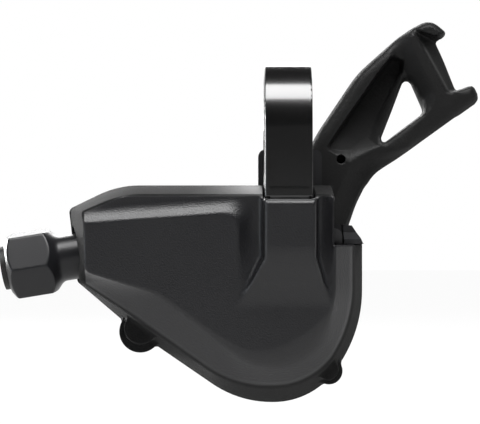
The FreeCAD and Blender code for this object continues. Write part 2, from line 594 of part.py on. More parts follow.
def top_plate():
    """Steel bridge plate on the posts, which holds the spindle's front end."""
    bridge_right = CORNER_X - 2 * FIT
    right_end, low_right, low_left, left_end = TOP_PLATE_FOOT
    outline = [(PLATE_LEFT, PLATE_TOP, PLATE_ROUND), (bridge_right, PLATE_TOP, PLATE_ROUND / 2),
               (bridge_right, *right_end), low_right, low_left, (PLATE_LEFT, *left_end)]
    plate = prism(outline, TOP_PLATE_Y, TOP_PLATE_Y + TOP_PLATE_THICKNESS)
    holes = [rod(x, z, POST_RADIUS * 0.6, TOP_PLATE_Y - 1, DRUM_Y) for x, z in POSTS]
    return plate.cut(holes + [spindle_ring(AXLE_RADIUS, 0, TOP_PLATE_Y - 1, DRUM_Y)])


def spacer_posts():
    """Three posts between the plates, each with a slimmer riveted end through both."""
    posts = []
    for x, z in POSTS:
        body = rod(x, z, POST_RADIUS, TOP_PLATE_Y + TOP_PLATE_THICKNESS, BASE_PLATE_Y)
        tail = rod(x, z, POST_RADIUS * 0.6, TOP_PLATE_Y - 0.3, TRAY_FLOOR_Y)
        posts.append(body.fuse(tail).removeSplitter())
    return Part.makeCompound(posts)


def main_axle():
    """Spindle with a threaded hole in its back end for the lever's screw."""
    spindle = spindle_ring(AXLE_RADIUS, 0, AXLE_FRONT_Y, LEVER_BACK_Y - 0.1)
    depth_y = LEVER_BACK_Y - LEVER_SCREW_BITE - SPRING_STRIP
    return spindle.cut(spindle_ring(LEVER_SCREW_THREAD, 0, depth_y, LEVER_BACK_Y + 1))


def axle_nut():
    nut = hexagon(AXLE_X, AXLE_Z, NUT_FLATS, NUT_Y, WASHER_Y, 12.0)
    return nut.cut(spindle_ring(AXLE_RADIUS, 0, NUT_Y - 1, WASHER_Y + 1))


def axle_washer():
    return spindle_ring(WASHER_RADIUS, AXLE_RADIUS, WASHER_Y, TOP_PLATE_Y)


def hub_flat(y0, y1):
    """What the flat on the drum's hub takes off, and what the wheel's hole leaves on."""
    return box(AXLE_X - 9, AXLE_X + 9, y0, y1, AXLE_Z + DRUM_HUB_FLAT, AXLE_Z + 9)


def cable_drum():
    """Grooved drum for the cable, with a pocket for the cable's nipple and a keyed hub."""
    flange = DRUM_RADIUS + DRUM_FLANGE
    bottom = DRUM_RADIUS - DRUM_GROOVE_DEPTH
    bore = AXLE_RADIUS + RUNNING_CLEARANCE
    hub_back = RATCHET_Y + RATCHET_THICKNESS
    points = [(bore, DRUM_Y), (flange, DRUM_Y), (flange, GROOVE_Y - 1.4), (bottom, GROOVE_Y - 0.6),
              (bottom, GROOVE_Y + 0.6), (flange, GROOVE_Y + 1.4), (flange, DRUM_BACK_Y),
              (DRUM_COLLAR_RADIUS, DRUM_BACK_Y), (DRUM_COLLAR_RADIUS, RATCHET_Y),
              (DRUM_HUB_RADIUS, RATCHET_Y), (DRUM_HUB_RADIUS, hub_back), (bore, hub_back)]
    corners = [V(AXLE_X + radius, y, AXLE_Z) for radius, y in points]
    profile = Part.Face(Part.makePolygon(corners + corners[:1]))
    drum = profile.revolve(V(AXLE_X, 0, AXLE_Z), ALONG_Y, 360)
    nipple_x, nipple_z = polar(bottom - 1.2, 150.0)
    cuts = [rod(nipple_x, nipple_z, 2.1, DRUM_Y - 1, GROOVE_Y + 1.0), hub_flat(RATCHET_Y, hub_back + 1)]
    cuts += [rod(*polar(7.2, angle), 1.7, DRUM_Y - 1, RATCHET_Y + 1) for angle in (20, 80, 260, 320)]
    return drum.cut(cuts)


def ratchet_wheel():
    """Toothed steel wheel pressed on the drum's hub: gentle ramps and square stops."""
    points = []
    for tooth in range(TOOTH_COUNT):
        stop = HOLD_NOSE_DEG + tooth * TOOTH_STEP_DEG
        points.append(polar(RATCHET_ROOT_RADIUS, stop))
        points.append(polar(RATCHET_TIP_RADIUS, stop))
        points.append(polar(RATCHET_ROOT_RADIUS + TOOTH_HEIGHT / 2, stop + TOOTH_STEP_DEG / 2))
    wheel = sharp_prism(points, RATCHET_Y, RATCHET_Y + RATCHET_THICKNESS)
    hole = spindle_ring(DRUM_HUB_RADIUS, 0, RATCHET_Y - 1, RATCHET_Y + RATCHET_THICKNESS + 1)
    return wheel.cut(hole.cut(hub_flat(RATCHET_Y - 2, RATCHET_Y + 3)))


def spiral(inner_radius, half_turns, y0, y1):
    """Flat spiral spring made of half rings whose centres alternate, from the inside out."""
    shift = SPRING_PITCH / 2
    radius = inner_radius + SPRING_STRIP / 2
    middle = V(AXLE_X, y0, AXLE_Z)
    pieces = []
    for turn in range(half_turns):
        hub = middle + V(shift if turn % 2 else 0, 0, 0)
        side = -1 if turn % 2 else 1
        inner, outer = radius - SPRING_STRIP / 2, radius + SPRING_STRIP / 2
        edges = []
        for rim in (inner, outer):
            edges.append(Part.Arc(hub + V(rim, 0, 0), hub + V(0, 0, side * rim),
                                  hub - V(rim, 0, 0)).toShape())
        edges.append(Part.makeLine(hub + V(inner, 0, 0), hub + V(outer, 0, 0)))
        edges.append(Part.makeLine(hub - V(inner, 0, 0), hub - V(outer, 0, 0)))
        wire = Part.Wire(Part.__sortEdges__(edges))
        pieces.append(Part.Face(wire).extrude(V(0, y1 - y0, 0)))
        radius += shift
    return pieces[0].fuse(pieces[1:]).removeSplitter()


def drum_spring():
    """Flat spiral spring in front of the drum, its inner turn gripping the spindle."""
    return spiral(AXLE_RADIUS + 0.02, 7, DRUM_SPRING_Y, DRUM_SPRING_Y + DRUM_SPRING_WIDTH)


def lever_return_spring():
    """Flat spiral spring round the lever's sleeve, in the recess of the housing's hub."""
    return spiral(SLEEVE_RADIUS + 0.1, 2, RETURN_SPRING_Y, RETURN_SPRING_Y + RETURN_SPRING_WIDTH)


def pawl_pivot(nose_deg):
    return polar(PAWL_PIVOT_RADIUS, nose_deg - PAWL_LEAD_DEG)


def pawl(nose_deg, y0):
    """Flat pawl whose nose sits in a tooth space, with clearance to ramp and stop."""
    pivot = pawl_pivot(nose_deg)
    stop = nose_deg - TOOTH_GAP * 360 / (2 * math.pi * RATCHET_TIP_RADIUS)
    width = 6.5
    eye_side = nose_deg - PAWL_LEAD_DEG + math.degrees(0.7 * PAWL_EYE_RADIUS / PAWL_PIVOT_RADIUS)
    low = RATCHET_ROOT_RADIUS + TOOTH_GAP
    ramp = TOOTH_HEIGHT * width / TOOTH_STEP_DEG
    nose = [polar(low + TOOTH_HEIGHT * 0.06, stop), polar(low + ramp, stop - width),
            polar(RATCHET_TIP_RADIUS + 0.9, stop - width - 13), polar(RATCHET_TIP_RADIUS + 1.9, eye_side)]
    back = [polar(PAWL_PIVOT_RADIUS + 1.4, eye_side),
            polar(RATCHET_TIP_RADIUS + 1.7, stop - width), polar(RATCHET_TIP_RADIUS + 0.5, stop)]
    arm = sharp_prism(nose + back, y0, y0 + RATCHET_THICKNESS)
    eye = rod(pivot[0], pivot[1], PAWL_EYE_RADIUS, y0, y0 + RATCHET_THICKNESS)
    bore = rod(pivot[0], pivot[1], PAWL_PIN_RADIUS + RUNNING_CLEARANCE, y0 - 1, y0 + 3)
    return arm.fuse(eye).removeSplitter().cut(bore)


def hold_pawl():
    return pawl(HOLD_NOSE_DEG, RATCHET_Y)


def drive_pawl():
    return pawl(DRIVE_NOSE_DEG, RATCHET_Y)


def pawl_pin(nose_deg, carrier_front, carrier_back):
    """Headed pin: a thin stem through the pawl, and a step under the coil of its spring."""
    x, z = pawl_pivot(nose_deg)
    head = rod(x, z, PAWL_PIN_RADIUS + 0.5, RATCHET_Y - PIN_HEAD, RATCHET_Y)
    stem = rod(x, z, PAWL_PIN_RADIUS, RATCHET_Y, carrier_back)
    step = rod(x, z, PAWL_STEP_RADIUS, RATCHET_Y + RATCHET_THICKNESS + 0.1, carrier_front)
    return head.fuse([stem, step]).removeSplitter()


def hold_pawl_pin():
    return pawl_pin(HOLD_NOSE_DEG, BASE_PLATE_Y, TRAY_FLOOR_Y)


def drive_pawl_pin():
    return pawl_pin(DRIVE_NOSE_DEG, DRIVE_PLATE_Y, DRIVE_PLATE_Y + DRIVE_PLATE_THICKNESS)


def drive_plate():
    """Steel driver on the lever's sleeve, with an ear for the driving pawl's pin."""
    x, z = pawl_pivot(DRIVE_NOSE_DEG)
    back = DRIVE_PLATE_Y + DRIVE_PLATE_THICKNESS
    disc = spindle_ring(DRIVE_DISC_RADIUS, 0, DRIVE_PLATE_Y, back)
    ear = rod(x, z, PAWL_EYE_RADIUS, DRIVE_PLATE_Y, back)
    angle = DRIVE_NOSE_DEG - PAWL_LEAD_DEG
    web_root = DRIVE_DISC_RADIUS - 0.4
    web = sharp_prism([polar(web_root, angle - 24), polar(PAWL_PIVOT_RADIUS, angle - 8.5),
                       polar(PAWL_PIVOT_RADIUS, angle + 8.5), polar(web_root, angle + 24)],
                      DRIVE_PLATE_Y, back)
    plate = joined(disc, [ear, web])
    return plate.cut([keyed_sleeve(DRIVE_PLATE_Y - 1, back + 1), rod(x, z, PAWL_PIN_RADIUS,
                     DRIVE_PLATE_Y - 1, back + 1)])


def keyed_sleeve(y0, y1):
    """The sleeve's end with two flats, which the driver sits on."""
    bar = spindle_ring(SLEEVE_RADIUS, 0, y0, y1)
    return bar.common(box(AXLE_X - SLEEVE_FLAT, AXLE_X + SLEEVE_FLAT, y0, y1, AXLE_Z - 9, AXLE_Z + 9))


def pawl_spring(nose_deg):
    """Close-wound coil round the pin's step, with a straight leg that runs out at its rear end."""
    x, z = pawl_pivot(nose_deg)
    half_wire = PAWL_SPRING_WIRE / 2
    mean = PAWL_STEP_RADIUS + 0.1 + half_wire
    front = RATCHET_Y + RATCHET_THICKNESS + 0.1 + half_wire
    pitch = 0.85 * PAWL_SPRING_WIRE
    turns = [Part.Face(Part.Wire(Part.makeCircle(half_wire, V(mean, turn * pitch, 0), ALONG_Z)))
             for turn in range(PAWL_SPRING_TURNS)]
    section = turns[0].fuse(turns[1:]).removeSplitter()
    coil = section.Faces[0].revolve(V(0, 0, 0), ALONG_Y, 360)
    rear = pitch * (PAWL_SPRING_TURNS - 1)
    leg = Part.makeCylinder(0.8 * half_wire, PAWL_LEG_LENGTH, V(-mean, rear, 0), ALONG_Z)
    spring = coil.fuse(leg)
    turn = FreeCAD.Rotation(ALONG_Y, nose_deg + PAWL_LEG_TURN_DEG)
    spring.Placement = FreeCAD.Placement(V(x, front, z), turn)
    return spring


def hold_pawl_spring():
    return pawl_spring(HOLD_NOSE_DEG)


def drive_pawl_spring():
    return pawl_spring(DRIVE_NOSE_DEG)


def thrust_washer():
    return spindle_ring(THRUST_WASHER_RADIUS, SLEEVE_RADIUS + FIT, HUB_FACE_Y,
                        HUB_FACE_Y + THRUST_WASHER_THICKNESS)


def lever_bush():
    """Plain bush pressed in the lever's sleeve."""
    return spindle_ring(BUSH_OUTER, AXLE_RADIUS + RUNNING_CLEARANCE, DRIVE_PLATE_Y, LEVER_BACK_Y)


def lever_screw():
    """Wide-headed screw in the spindle's back end, which keeps the lever on."""
    head_y = LEVER_BACK_Y + 0.1
    head = spindle_ring(LEVER_SCREW_RADIUS, 0, head_y, head_y + LEVER_SCREW_HEAD)
    stem = spindle_ring(AXLE_RADIUS, 0, LEVER_BACK_Y - 0.1, head_y)
    thread = spindle_ring(LEVER_SCREW_THREAD, 0, LEVER_BACK_Y - LEVER_SCREW_BITE, head_y)
    socket = hexagon(AXLE_X, AXLE_Z, LEVER_SCREW_SOCKET, head_y + 0.4, head_y + LEVER_SCREW_HEAD + 1)
    return joined(head, [stem, thread]).cut(socket)


def slanted_tool(line, steps):
    """What lies before a slanted face: steps of reach and depth to a line's right, drawn along it."""
    (x0, z0), (x1, z1) = line
    run = V(x1 - x0, 0, z1 - z0)
    out = V(run.z, 0, -run.x).normalize()
    start = V(x0, LEVER_FRONT_Y, z0)
    above = -2.0
    profile = [(steps[0][0], above)] + steps + [(steps[-1][0], above)]
    corners = [start + out * reach + ALONG_Y * depth for reach, depth in profile]
    return Part.Face(Part.makePolygon(corners + corners[:1])).extrude(run)


def lengthened(line, before, after):
    """The same line with its ends moved out."""
    (x0, z0), (x1, z1) = line
    length = math.hypot(x1 - x0, z1 - z0)
    run_x, run_z = (x1 - x0) / length, (z1 - z0) / length
    return [(x0 - run_x * before, z0 - run_z * before), (x1 + run_x * after, z1 + run_z * after)]


def rounded_slab(outline, front, back, front_round, back_round):
    """Slab with a rounded outline and rounded front and back rims."""
    slab = prism(outline, front, back)
    for level, radius in ((front, front_round), (back, back_round)):
        edges = [e for e in slab.Edges if all(abs(v.Y - level) < 1e-4 for v in e.Vertexes)]
        slab = slab.makeFillet(radius, edges)
    return slab


def lever_tools():
    """What the lever's front loses: web, thumb face and the round beside it, root and horn."""
    (x0, z0), (x1, z1) = WEB_LINE
    lift_x, lift_z = 1.2 * (x1 - x0), 1.2 * (z1 - z0)
    across = [(x0 + lift_z, z0 - lift_x), (x0 - lift_z, z0 + lift_x)]
    pocket = prism(LEVER_POCKET, LEVER_FRONT_Y - 1, LEVER_BACK_Y).common(slanted_tool(across, WEB_STEPS))
    region = sharp_prism(THUMB_REGION, LEVER_FRONT_Y - 1, LEVER_FRONT_Y + PAD_DEPTH)
    thumb = slanted_tool(lengthened(PAD_RIDGE[::-1], 2, 2), THUMB_STEPS).common(region)
    beside = slanted_tool(lengthened(PAD_RIDGE, 1, -3), PAD_LEFT_STEPS)
    root = slanted_tool(ROOT_LINE[::-1], ROOT_STEPS).common(slanted_tool(SHOULDER_LINE, SHOULDER_STEPS))
    horn = slanted_tool(HORN_LINE, HORN_STEPS).common(slanted_tool(HORN_ROOT_LINE, HORN_ROOT_STEPS))
    return [pocket, thumb, beside, root, horn]


def shift_lever():
    """One-piece thumb lever: hub, two rails round a window, and a cupped pad."""
    body = rounded_slab(LEVER_OUTLINE, LEVER_FRONT_Y, LEVER_BACK_Y, LEVER_FRONT_ROUND, LEVER_BACK_ROUND)
    hub = spindle_ring(LEVER_HUB_RADIUS, 0, LEVER_FRONT_Y, LEVER_BACK_Y)
    pad = rounded_slab(PAD_LINE, LEVER_FRONT_Y, LEVER_FRONT_Y + PAD_DEPTH, PAD_ROUND, PAD_ROUND)
    body = joined(body, [hub, pad])
    sleeve = keyed_sleeve(DRIVE_PLATE_Y, BASE_PLATE_Y).fuse(
        spindle_ring(SLEEVE_RADIUS, 0, BASE_PLATE_Y - STACK_GAP / 2, LEVER_FRONT_Y))
    body = body.cut(lever_tools())
    body = joined(body, [sleeve])
    window = prism(LEVER_WINDOW, LEVER_FRONT_Y - 1, LEVER_BACK_Y + 1)
    rivet = rod(RIVET_HOLE[0], RIVET_HOLE[1], RIVET_HOLE_RADIUS, LEVER_FRONT_Y - 1,
                LEVER_FRONT_Y + RIVET_HOLE_DEPTH)
    bore = spindle_ring(BUSH_OUTER, 0, DRIVE_PLATE_Y - 1, LEVER_BACK_Y + 1)
    return body.cut([window, rivet, bore])


def adjuster_knob():
    """Six-sided knob with coned ends and a round neck, threaded for the barrel."""
    outward = adjuster_axis()
    front = KNOB_HALF_LENGTH
    rear = -KNOB_HALF_LENGTH
    profile = [(0, rear - KNOB_REAR_CONE - NECK_LENGTH), (NECK_RADIUS, rear - KNOB_REAR_CONE - NECK_LENGTH),
               (NECK_RADIUS, rear - KNOB_REAR_CONE), (KNOB_CORNER_RADIUS, rear),
               (KNOB_CORNER_RADIUS, front), (KNOB_NOSE_RADIUS, front + KNOB_FRONT_CONE),
               (0, front + KNOB_FRONT_CONE)]
    centre = V(*ADJUSTER_CENTRE)
    corners = [centre + outward * along + ALONG_Y * radius for radius, along in profile]
    turned = Part.Face(Part.makePolygon(corners + corners[:1])).revolve(centre, outward, 360)
    up = outward.cross(ALONG_Y)
    points = []
    for step in range(6):
        angle = math.radians(KNOB_TURN_DEG + 60 * step)
        ray = ALONG_Y * math.cos(angle) + up * math.sin(angle)
        points.append(centre + outward * (rear - KNOB_REAR_CONE) + ray * KNOB_CORNER_RADIUS)
    block = Part.Face(Part.makePolygon(points + points[:1])).extrude(
        outward * (2 * KNOB_HALF_LENGTH + KNOB_REAR_CONE + KNOB_FRONT_CONE))
    neck = adjuster_rod(NECK_RADIUS, rear - KNOB_REAR_CONE - NECK_LENGTH, rear)
    knob = turned.common(block.fuse(neck)).removeSplitter()
    bore = adjuster_rod(BARREL_RADIUS + RUNNING_CLEARANCE, -20, 20)
    spring_room = adjuster_rod(NECK_RADIUS - 0.6, -20, rear - KNOB_REAR_CONE - NECK_LENGTH + 4.0)
    return knob.cut([bore, spring_room])


def keyed_barrel(clearance, start, end):
    """The barrel's round shank with two flats, or the hole that it slides in."""
    bar = adjuster_rod(BARREL_RADIUS + clearance, start, end)
    half = BARREL_FLAT + clearance
    y_middle = ADJUSTER_CENTRE[1]
    slab = Part.makeBox(end - start + 2, 2 * half, 20, V(-(end + 1), y_middle - half, -10))
    slab.rotate(V(0, 0, 0), ALONG_Y, -ADJUSTER_TILT_DEG)
    slab.translate(V(ADJUSTER_X, 0, ADJUSTER_Z))
    return bar.common(slab)


def adjuster_barrel():
    """Hollow threaded casing stop, flanged at its outer end and keyed at its inner one."""
    nose = KNOB_HALF_LENGTH + KNOB_FRONT_CONE
    neck_end = -KNOB_HALF_LENGTH - KNOB_REAR_CONE - NECK_LENGTH
    ring = adjuster_rod(BARREL_RING_RADIUS, nose, nose + BARREL_RING_LENGTH)
    shank = adjuster_rod(BARREL_RADIUS, neck_end + 4.0, nose)
    tail = keyed_barrel(0.0, neck_end - BARREL_TAIL, neck_end + 4.0)
    barrel = joined(ring, [shank, tail])
    casing = adjuster_rod(CASING_RADIUS, nose + BARREL_RING_LENGTH - CASING_DEPTH, nose + 5)
    cable = adjuster_rod(CABLE_RADIUS, neck_end - BARREL_TAIL - 1, nose)
    return barrel.cut([casing, cable])


def adjuster_spring():
    """Small coil round the barrel, in the neck of the knob."""
    neck_end = -KNOB_HALF_LENGTH - KNOB_REAR_CONE - NECK_LENGTH
    mean = (BARREL_RADIUS + NECK_RADIUS - 0.6) / 2
    outward = adjuster_axis()
    base = V(*ADJUSTER_CENTRE) + outward * (neck_end + 0.4)
    helix = Part.makeHelix(1.4, 3.0, mean)
    section = Part.Wire([Part.makeCircle(ADJUSTER_SPRING_WIRE / 2, V(mean, 0, 0), ALONG_Y)])
    coil = Part.Wire(helix.Edges).makePipeShell([section], True, False)
    coil.Placement = FreeCAD.Placement(base, FreeCAD.Rotation(ALONG_Z, outward))
    return coil


def small_screw(x, z, front, back):
    """Pan-headed screw driven from the back."""
    head = rod(x, z, SCREW_HEAD_DIAMETER / 2, back - SCREW_HEAD_HEIGHT, back)
    shank = rod(x, z, SCREW_RADIUS, front, back - SCREW_HEAD_HEIGHT)
    slot = hexagon(x, z, 1.6, back - SCREW_HEAD_HEIGHT + 0.5, back + 1)
    return shank.fuse(head).removeSplitter().cut(slot)


def cover_screws():
    screws = [small_screw(x, z, PARTING_Y - SCREW_BITE, REAR_Y - 0.2) for x, z, _ in (LEFT_EAR, RIGHT_EAR)]
    return Part.makeCompound(screws)


def plate_screws():
    """Two screws through the base plate into the tray's floor."""
    screws = []
    for x, z in PLATE_SCREWS:
        shank = rod(x, z, SCREW_RADIUS, BASE_PLATE_Y, REAR_Y - 0.3)
        head = rod(x, z, SCREW_HEAD_DIAMETER / 2, BASE_PLATE_Y - 1.0, BASE_PLATE_Y)
        screws.append(shank.fuse(head).removeSplitter())
    return Part.makeCompound(screws)


def cable_plug():
    """Round cap in the right wall of the tray."""
    wall_x = PARTING_OUTLINE[2][0] - REAR_TAPER * (PLUG_Y - PARTING_Y) / (REAR_Y - PARTING_Y)
    plug = Part.makeCylinder(PLUG_RADIUS, TRAY_WALL + PLUG_HEAD, V(wall_x - TRAY_WALL, PLUG_Y, PLUG_Z),
                             ALONG_X)
    slot = box(wall_x + PLUG_HEAD - 0.6, wall_x + PLUG_HEAD + 1, PLUG_Y - 2, PLUG_Y + 2, PLUG_Z - 0.4,
               PLUG_Z + 0.4)
    return plug.cut(slot)


PIECES = {
    "front_cover": front_cover, "base_housing": base_housing, "clamp_band": clamp_band,
    "clamp_bolt": clamp_bolt, "base_plate": base_plate, "top_plate": top_plate,
    "spacer_posts": spacer_posts, "main_axle": main_axle, "axle_nut": axle_nut,
    "axle_washer": axle_washer, "cable_drum": cable_drum, "ratchet_wheel": ratchet_wheel,
    "drum_spring": drum_spring, "drive_plate": drive_plate,
    "drive_pawl_spring": drive_pawl_spring, "hold_pawl_spring": hold_pawl_spring,
    "lever_return_spring": lever_return_spring,
    "drive_pawl": drive_pawl, "drive_pawl_pin": drive_pawl_pin, "hold_pawl": hold_pawl,
    "hold_pawl_pin": hold_pawl_pin, "shift_lever": shift_lever, "lever_bush": lever_bush,
    "thrust_washer": thrust_washer, "lever_screw": lever_screw, "adjuster_knob": adjuster_knob,
    "adjuster_barrel": adjuster_barrel, "adjuster_spring": adjuster_spring,
    "cover_screws": cover_screws, "plate_screws": plate_screws, "cable_plug": cable_plug,
}


def main():
    os.makedirs("parts", exist_ok=True)
    for name, make in PIECES.items():
        shape = make()
        shape.exportStep("parts/" + name + ".step")
        print(name, "solids", len(shape.Solids), "volume", round(shape.Volume, 2), "valid", shape.isValid())


main()
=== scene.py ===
import json
import math

import bpy
import numpy as np
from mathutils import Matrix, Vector


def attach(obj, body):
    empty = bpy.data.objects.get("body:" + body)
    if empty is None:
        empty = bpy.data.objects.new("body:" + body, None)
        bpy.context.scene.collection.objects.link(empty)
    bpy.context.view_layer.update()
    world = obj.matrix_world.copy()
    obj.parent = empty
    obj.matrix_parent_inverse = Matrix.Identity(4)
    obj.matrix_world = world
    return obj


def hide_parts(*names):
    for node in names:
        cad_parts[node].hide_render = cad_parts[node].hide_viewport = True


# Trigger gear shifter. Shapes are worked out in millimetres and laid down in metres.
MM = 0.001

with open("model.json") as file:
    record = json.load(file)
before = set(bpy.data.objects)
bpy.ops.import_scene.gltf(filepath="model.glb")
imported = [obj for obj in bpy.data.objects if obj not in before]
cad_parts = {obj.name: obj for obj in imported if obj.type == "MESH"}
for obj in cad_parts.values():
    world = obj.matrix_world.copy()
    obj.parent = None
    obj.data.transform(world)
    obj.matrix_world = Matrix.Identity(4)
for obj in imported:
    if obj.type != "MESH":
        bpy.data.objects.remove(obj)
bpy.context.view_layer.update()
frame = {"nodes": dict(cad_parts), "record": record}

# Outlines of the moulded cover as (x, z, corner radius), clockwise seen from the front
PARTING_OUTLINE = [(-46.0, -16.7, 1.3), (-35.7, -11.7, 20.0), (15.7, -11.7, 2.0), (15.7, -42.2, 28.0),
                   (5.6, -57.3, 16.0), (-10.2, -57.3, 22.0), (-32.1, -42.3, 60.0), (-44.2, -32.0, 1.2)]
RIM_OUTLINE = [(-43.5, -16.7, 1.5), (-34.6, -12.7, 20.0), (13.4, -12.7, 2.0), (13.4, -40.8, 27.0),
               (4.9, -53.2, 15.0), (-11.4, -53.2, 22.0), (-32.4, -38.4, 60.0), (-42.7, -31.6, 1.0)]
FACE_OUTLINE = [(-42.0, -17.4, 0.8), (-33.6, -14.0, 20.0), (9.2, -14.0, 1.5), (9.2, -37.2, 16.0),
                (2.3, -47.2, 13.0), (-8.5, -47.2, 11.0), (-26.6, -33.8, 12.0), (-41.5, -29.4, 2.2)]
COVER_CENTRE = (-14.0, -30.0)
PARTING_Y = 4.0
RIM_Y = -6.0
FACE_Y = -12.0
COVER_WALL = 1.8

# Rounding of the edge between the cover's front and sides, and how much it gains at the lower right
FRONT_CREASE = 0.35
SOFT_GAIN = 1.8
SOFT_FROM_X = -20.0
SOFT_FROM_Z = -36.0

# The raised face ends at the scoop above it and at the two troughs beside the pedestal
SCOOP_LEFT = (-42.0, -19.4)
SCOOP_RIGHT = (-11.6, -17.2)
SCOOP_RAMP = 3.4
SCOOP_DEPTH = 1.6
TROUGH_LEFT_X = -10.3
TROUGH_RIGHT_X = 9.3
TROUGHS_PART_X = -1.0
TROUGH_TOP_Z = -21.0
TROUGH_TOE_Z = -33.5

# Where the painted shade of the cover's sides spreads over the bevel past the face's corner and left end,
# and the fade at the stop of the painted highlight along the top strip
FACE_CORNER_X = -33.6
FACE_LEFT_X = -41.4
FACE_LEFT_FADE = 0.4
CORNER_SLOPE = 0.42
PAINTED_HIGHLIGHT_FADE = 2.0

# Pedestal over the foot of the band
PEDESTAL_Y = -16.0
PEDESTAL_HALF = 5.15
PEDESTAL_TOP_Z = -14.7
PEDESTAL_LOW_Z = -26.4
PEDESTAL_TOE_Z = -34.5
PEDESTAL_DRAFT = 0.07
PEDESTAL_FLARE_LEFT = 0.50
PEDESTAL_FLARE_RIGHT = 0.30
PEDESTAL_BEVEL = 0.8

# Clamp band
BAR_RADIUS = 11.1
BAND_THICKNESS = 2.4
BAND_HALF = 4.82
BAND_MIDDLE = -0.16
FOOT_HALF = 4.0
FOOT_BLOCK = ((-FOOT_HALF, -13.5, -19.1), (FOOT_HALF, -9.6, -12.5))
FRONT_LEG_END_Z = -14.4
REAR_LEG_END_Z = -11.8
BOLT_Z = -16.2
BOLT_HOLE_RADIUS = 2.55
BOLT_HOLE_END_Y = -13.22

# Distance that keeps the cut of one of the band's legs away from the other
OUT_OF_PLAY = 100.0

# What is cut from the cover, as low and high corners: room for the foot in three steps, and the notch
FOOT_ROOM = (((-4.2, -13.7, -20.0), (4.2, 9, 12)),
             ((-5.3, -13.7, -14.5), (5.3, 9, 12)),
             ((-5.3, -8.9, -20.0), (5.3, 9, 12)))
NOTCH = ((9.1, -30, -24.0), (40, 9, 9))

# Screw ears as (x, z, radius)
LEFT_EAR = (-30.6, -41.3, 3.4)
RIGHT_EAR = (8.3, -50.0, 2.1)
EAR_FLANGES = ((-30.85, -42.3, 4.4), (8.6, -50.5, 2.85))
EAR_FRONT_Y = -3.0
FLANGE_FRONT_Y = 1.0

# Lever
AXLE = (-1.0, -32.0)
LEVER_FRONT_Y = 16.5
LEVER_BACK_Y = 23.0
LEVER_OUTLINE = [(-8.4, -29.0, 4.0), (7.0, 0.1, 30.0), (15.6, 12.9, 22.0), (25.0, 21.2, 14.0),
                 (31.4, 24.6, 3.0), (34.9, 21.7, 0.6), (34.0, 20.6, 0.6), (37.7, 9.4, 0.8),
                 (40.7, 10.5, 1.2), (42.35, 7.2, 1.6), (19.0, -9.6, 7.0), (15.6, -15.7, 14.0),
                 (12.2, -27.6, 10.0), (7.0, -36.0, 6.0)]
LEVER_WINDOW = [(26.4, 13.4, 1.2), (30.4, 4.4, 1.3), (19.6, -3.8, 0.8)]
LEVER_POCKET = [(8.9, -3.3, 0.8), (20.2, 12.9, 6.0), (23.2, 16.6, 1.0), (26.2, 16.0, 1.0),
                (26.8, 13.2, 0.5), (20.2, -3.0, 0.5), (14.0, -6.7, 0.8)]
PAD_OUTLINE = [(25.8, 21.6, 3.0), (31.4, 24.6, 3.0), (34.9, 21.7, 0.6), (34.0, 20.6, 0.6),
               (37.7, 9.4, 0.8), (40.7, 10.5, 1.1), (42.35, 7.2, 1.6), (37.6, 3.9, 1.0),
               (31.6, 4.8, 1.5), (26.4, 17.5, 2.0)]
PAD_BACK_Y = 28.0
PAD_RIDGE = ((27.6, 22.2), (35.2, 8.4))
THUMB_TOP = ((27.6, 22.2), (34.0, 20.4))
THUMB_FOOT = ((35.2, 8.4), (38.0, 9.6))
THUMB_SLOPE = 2.5
WEB_LINE = ((8.9, -3.3), (20.2, 12.9))
ROOT_LINE = ((13.7, -7.1), (10.8, -13.9))
LOWER_ARM = ((16.0, -9.0), (40.0, 8.0))
RIVET_HOLE = (11.9, -5.9)
RIVET_RADIUS = 0.9
RIVET_DEPTH = 3.0
HUB_RADIUS = 8.0
HUB_BORE = 3.86

# Relief of the lever's front: the web in its pocket, the pad's hollow, the horn, the root and its facet
WEB_DEPTH = 1.0
WEB_DEPTH_GAIN = 3.8
WEB_WALL = 1.0
WEB_WALL_GAIN = 2.6
PAD_LEFT_X = 22.0
PAD_HOLLOW = 0.075
PAD_HOLLOW_MOST = 2.4
HORN_LEFT_X = 26.0
HORN_WIDTH = 2.4
HORN_SLOPE = 0.22
ROOT_TOP_Z = -3.0
ROOT_SLOPE = 0.55
FACET_TOP_Z = -10.5
FACET_OFFSET = 4.4
FACET_SLOPE = 1.3

# Cable adjuster
ADJUSTER_CENTRE = (-53.6, 3.2, -28.1)
ADJUSTER_TILT = math.radians(9.3)
KNOB_CORNER_RADIUS = 7.45
KNOB_TURN = math.radians(7.0)
KNOB_HALF_LENGTH = 3.6
KNOB_FRONT_LIP = 1.45
KNOB_REAR_LIP = 2.4
KNOB_BORE = 3.05
NECK_RADIUS = 4.75
NECK_LENGTH = 13.0

# Cones at the knob's ends, as their slope and the length that makes a distance of it
FRONT_CONE = (1.48, 1.79)
REAR_CONE = (1.12, 1.5)

# Hollow of the cover round the adjuster's neck: an open bowl, and the bore behind it
BOWL_ALONG = -5.4
BOWL_Y = -3.5
BOWL_RADII = (5.2, 8.0, 4.35)
BOWL_SCALE = 4.3
NECK_ROOM_RADIUS = 6.1
NECK_ROOM_LENGTH = 16.5

# Skins: edge of a cell, step of the slope taken for normals, and rounds that settle points on the form
FINE = 0.38
BAND_CELL = 0.4
KNOB_CELL = 0.35
SLOPE_STEP = 0.04
SETTLING_ROUNDS = 3


def smooth_max(a, b, width):
    """The larger of two values, with the crease between them rounded over a width."""
    near = np.maximum(width - np.abs(a - b), 0.0) / width
    return np.maximum(a, b) + near * near * width / 4


def smooth_min(a, b, width):
    """The smaller of two values, rounded the same way."""
    return -smooth_max(-a, -b, width)


def ease(t):
    """Runs smoothly from 0 to 1 as t does."""
    t = np.clip(t, 0.0, 1.0)
    return t * t * (3 - 2 * t)


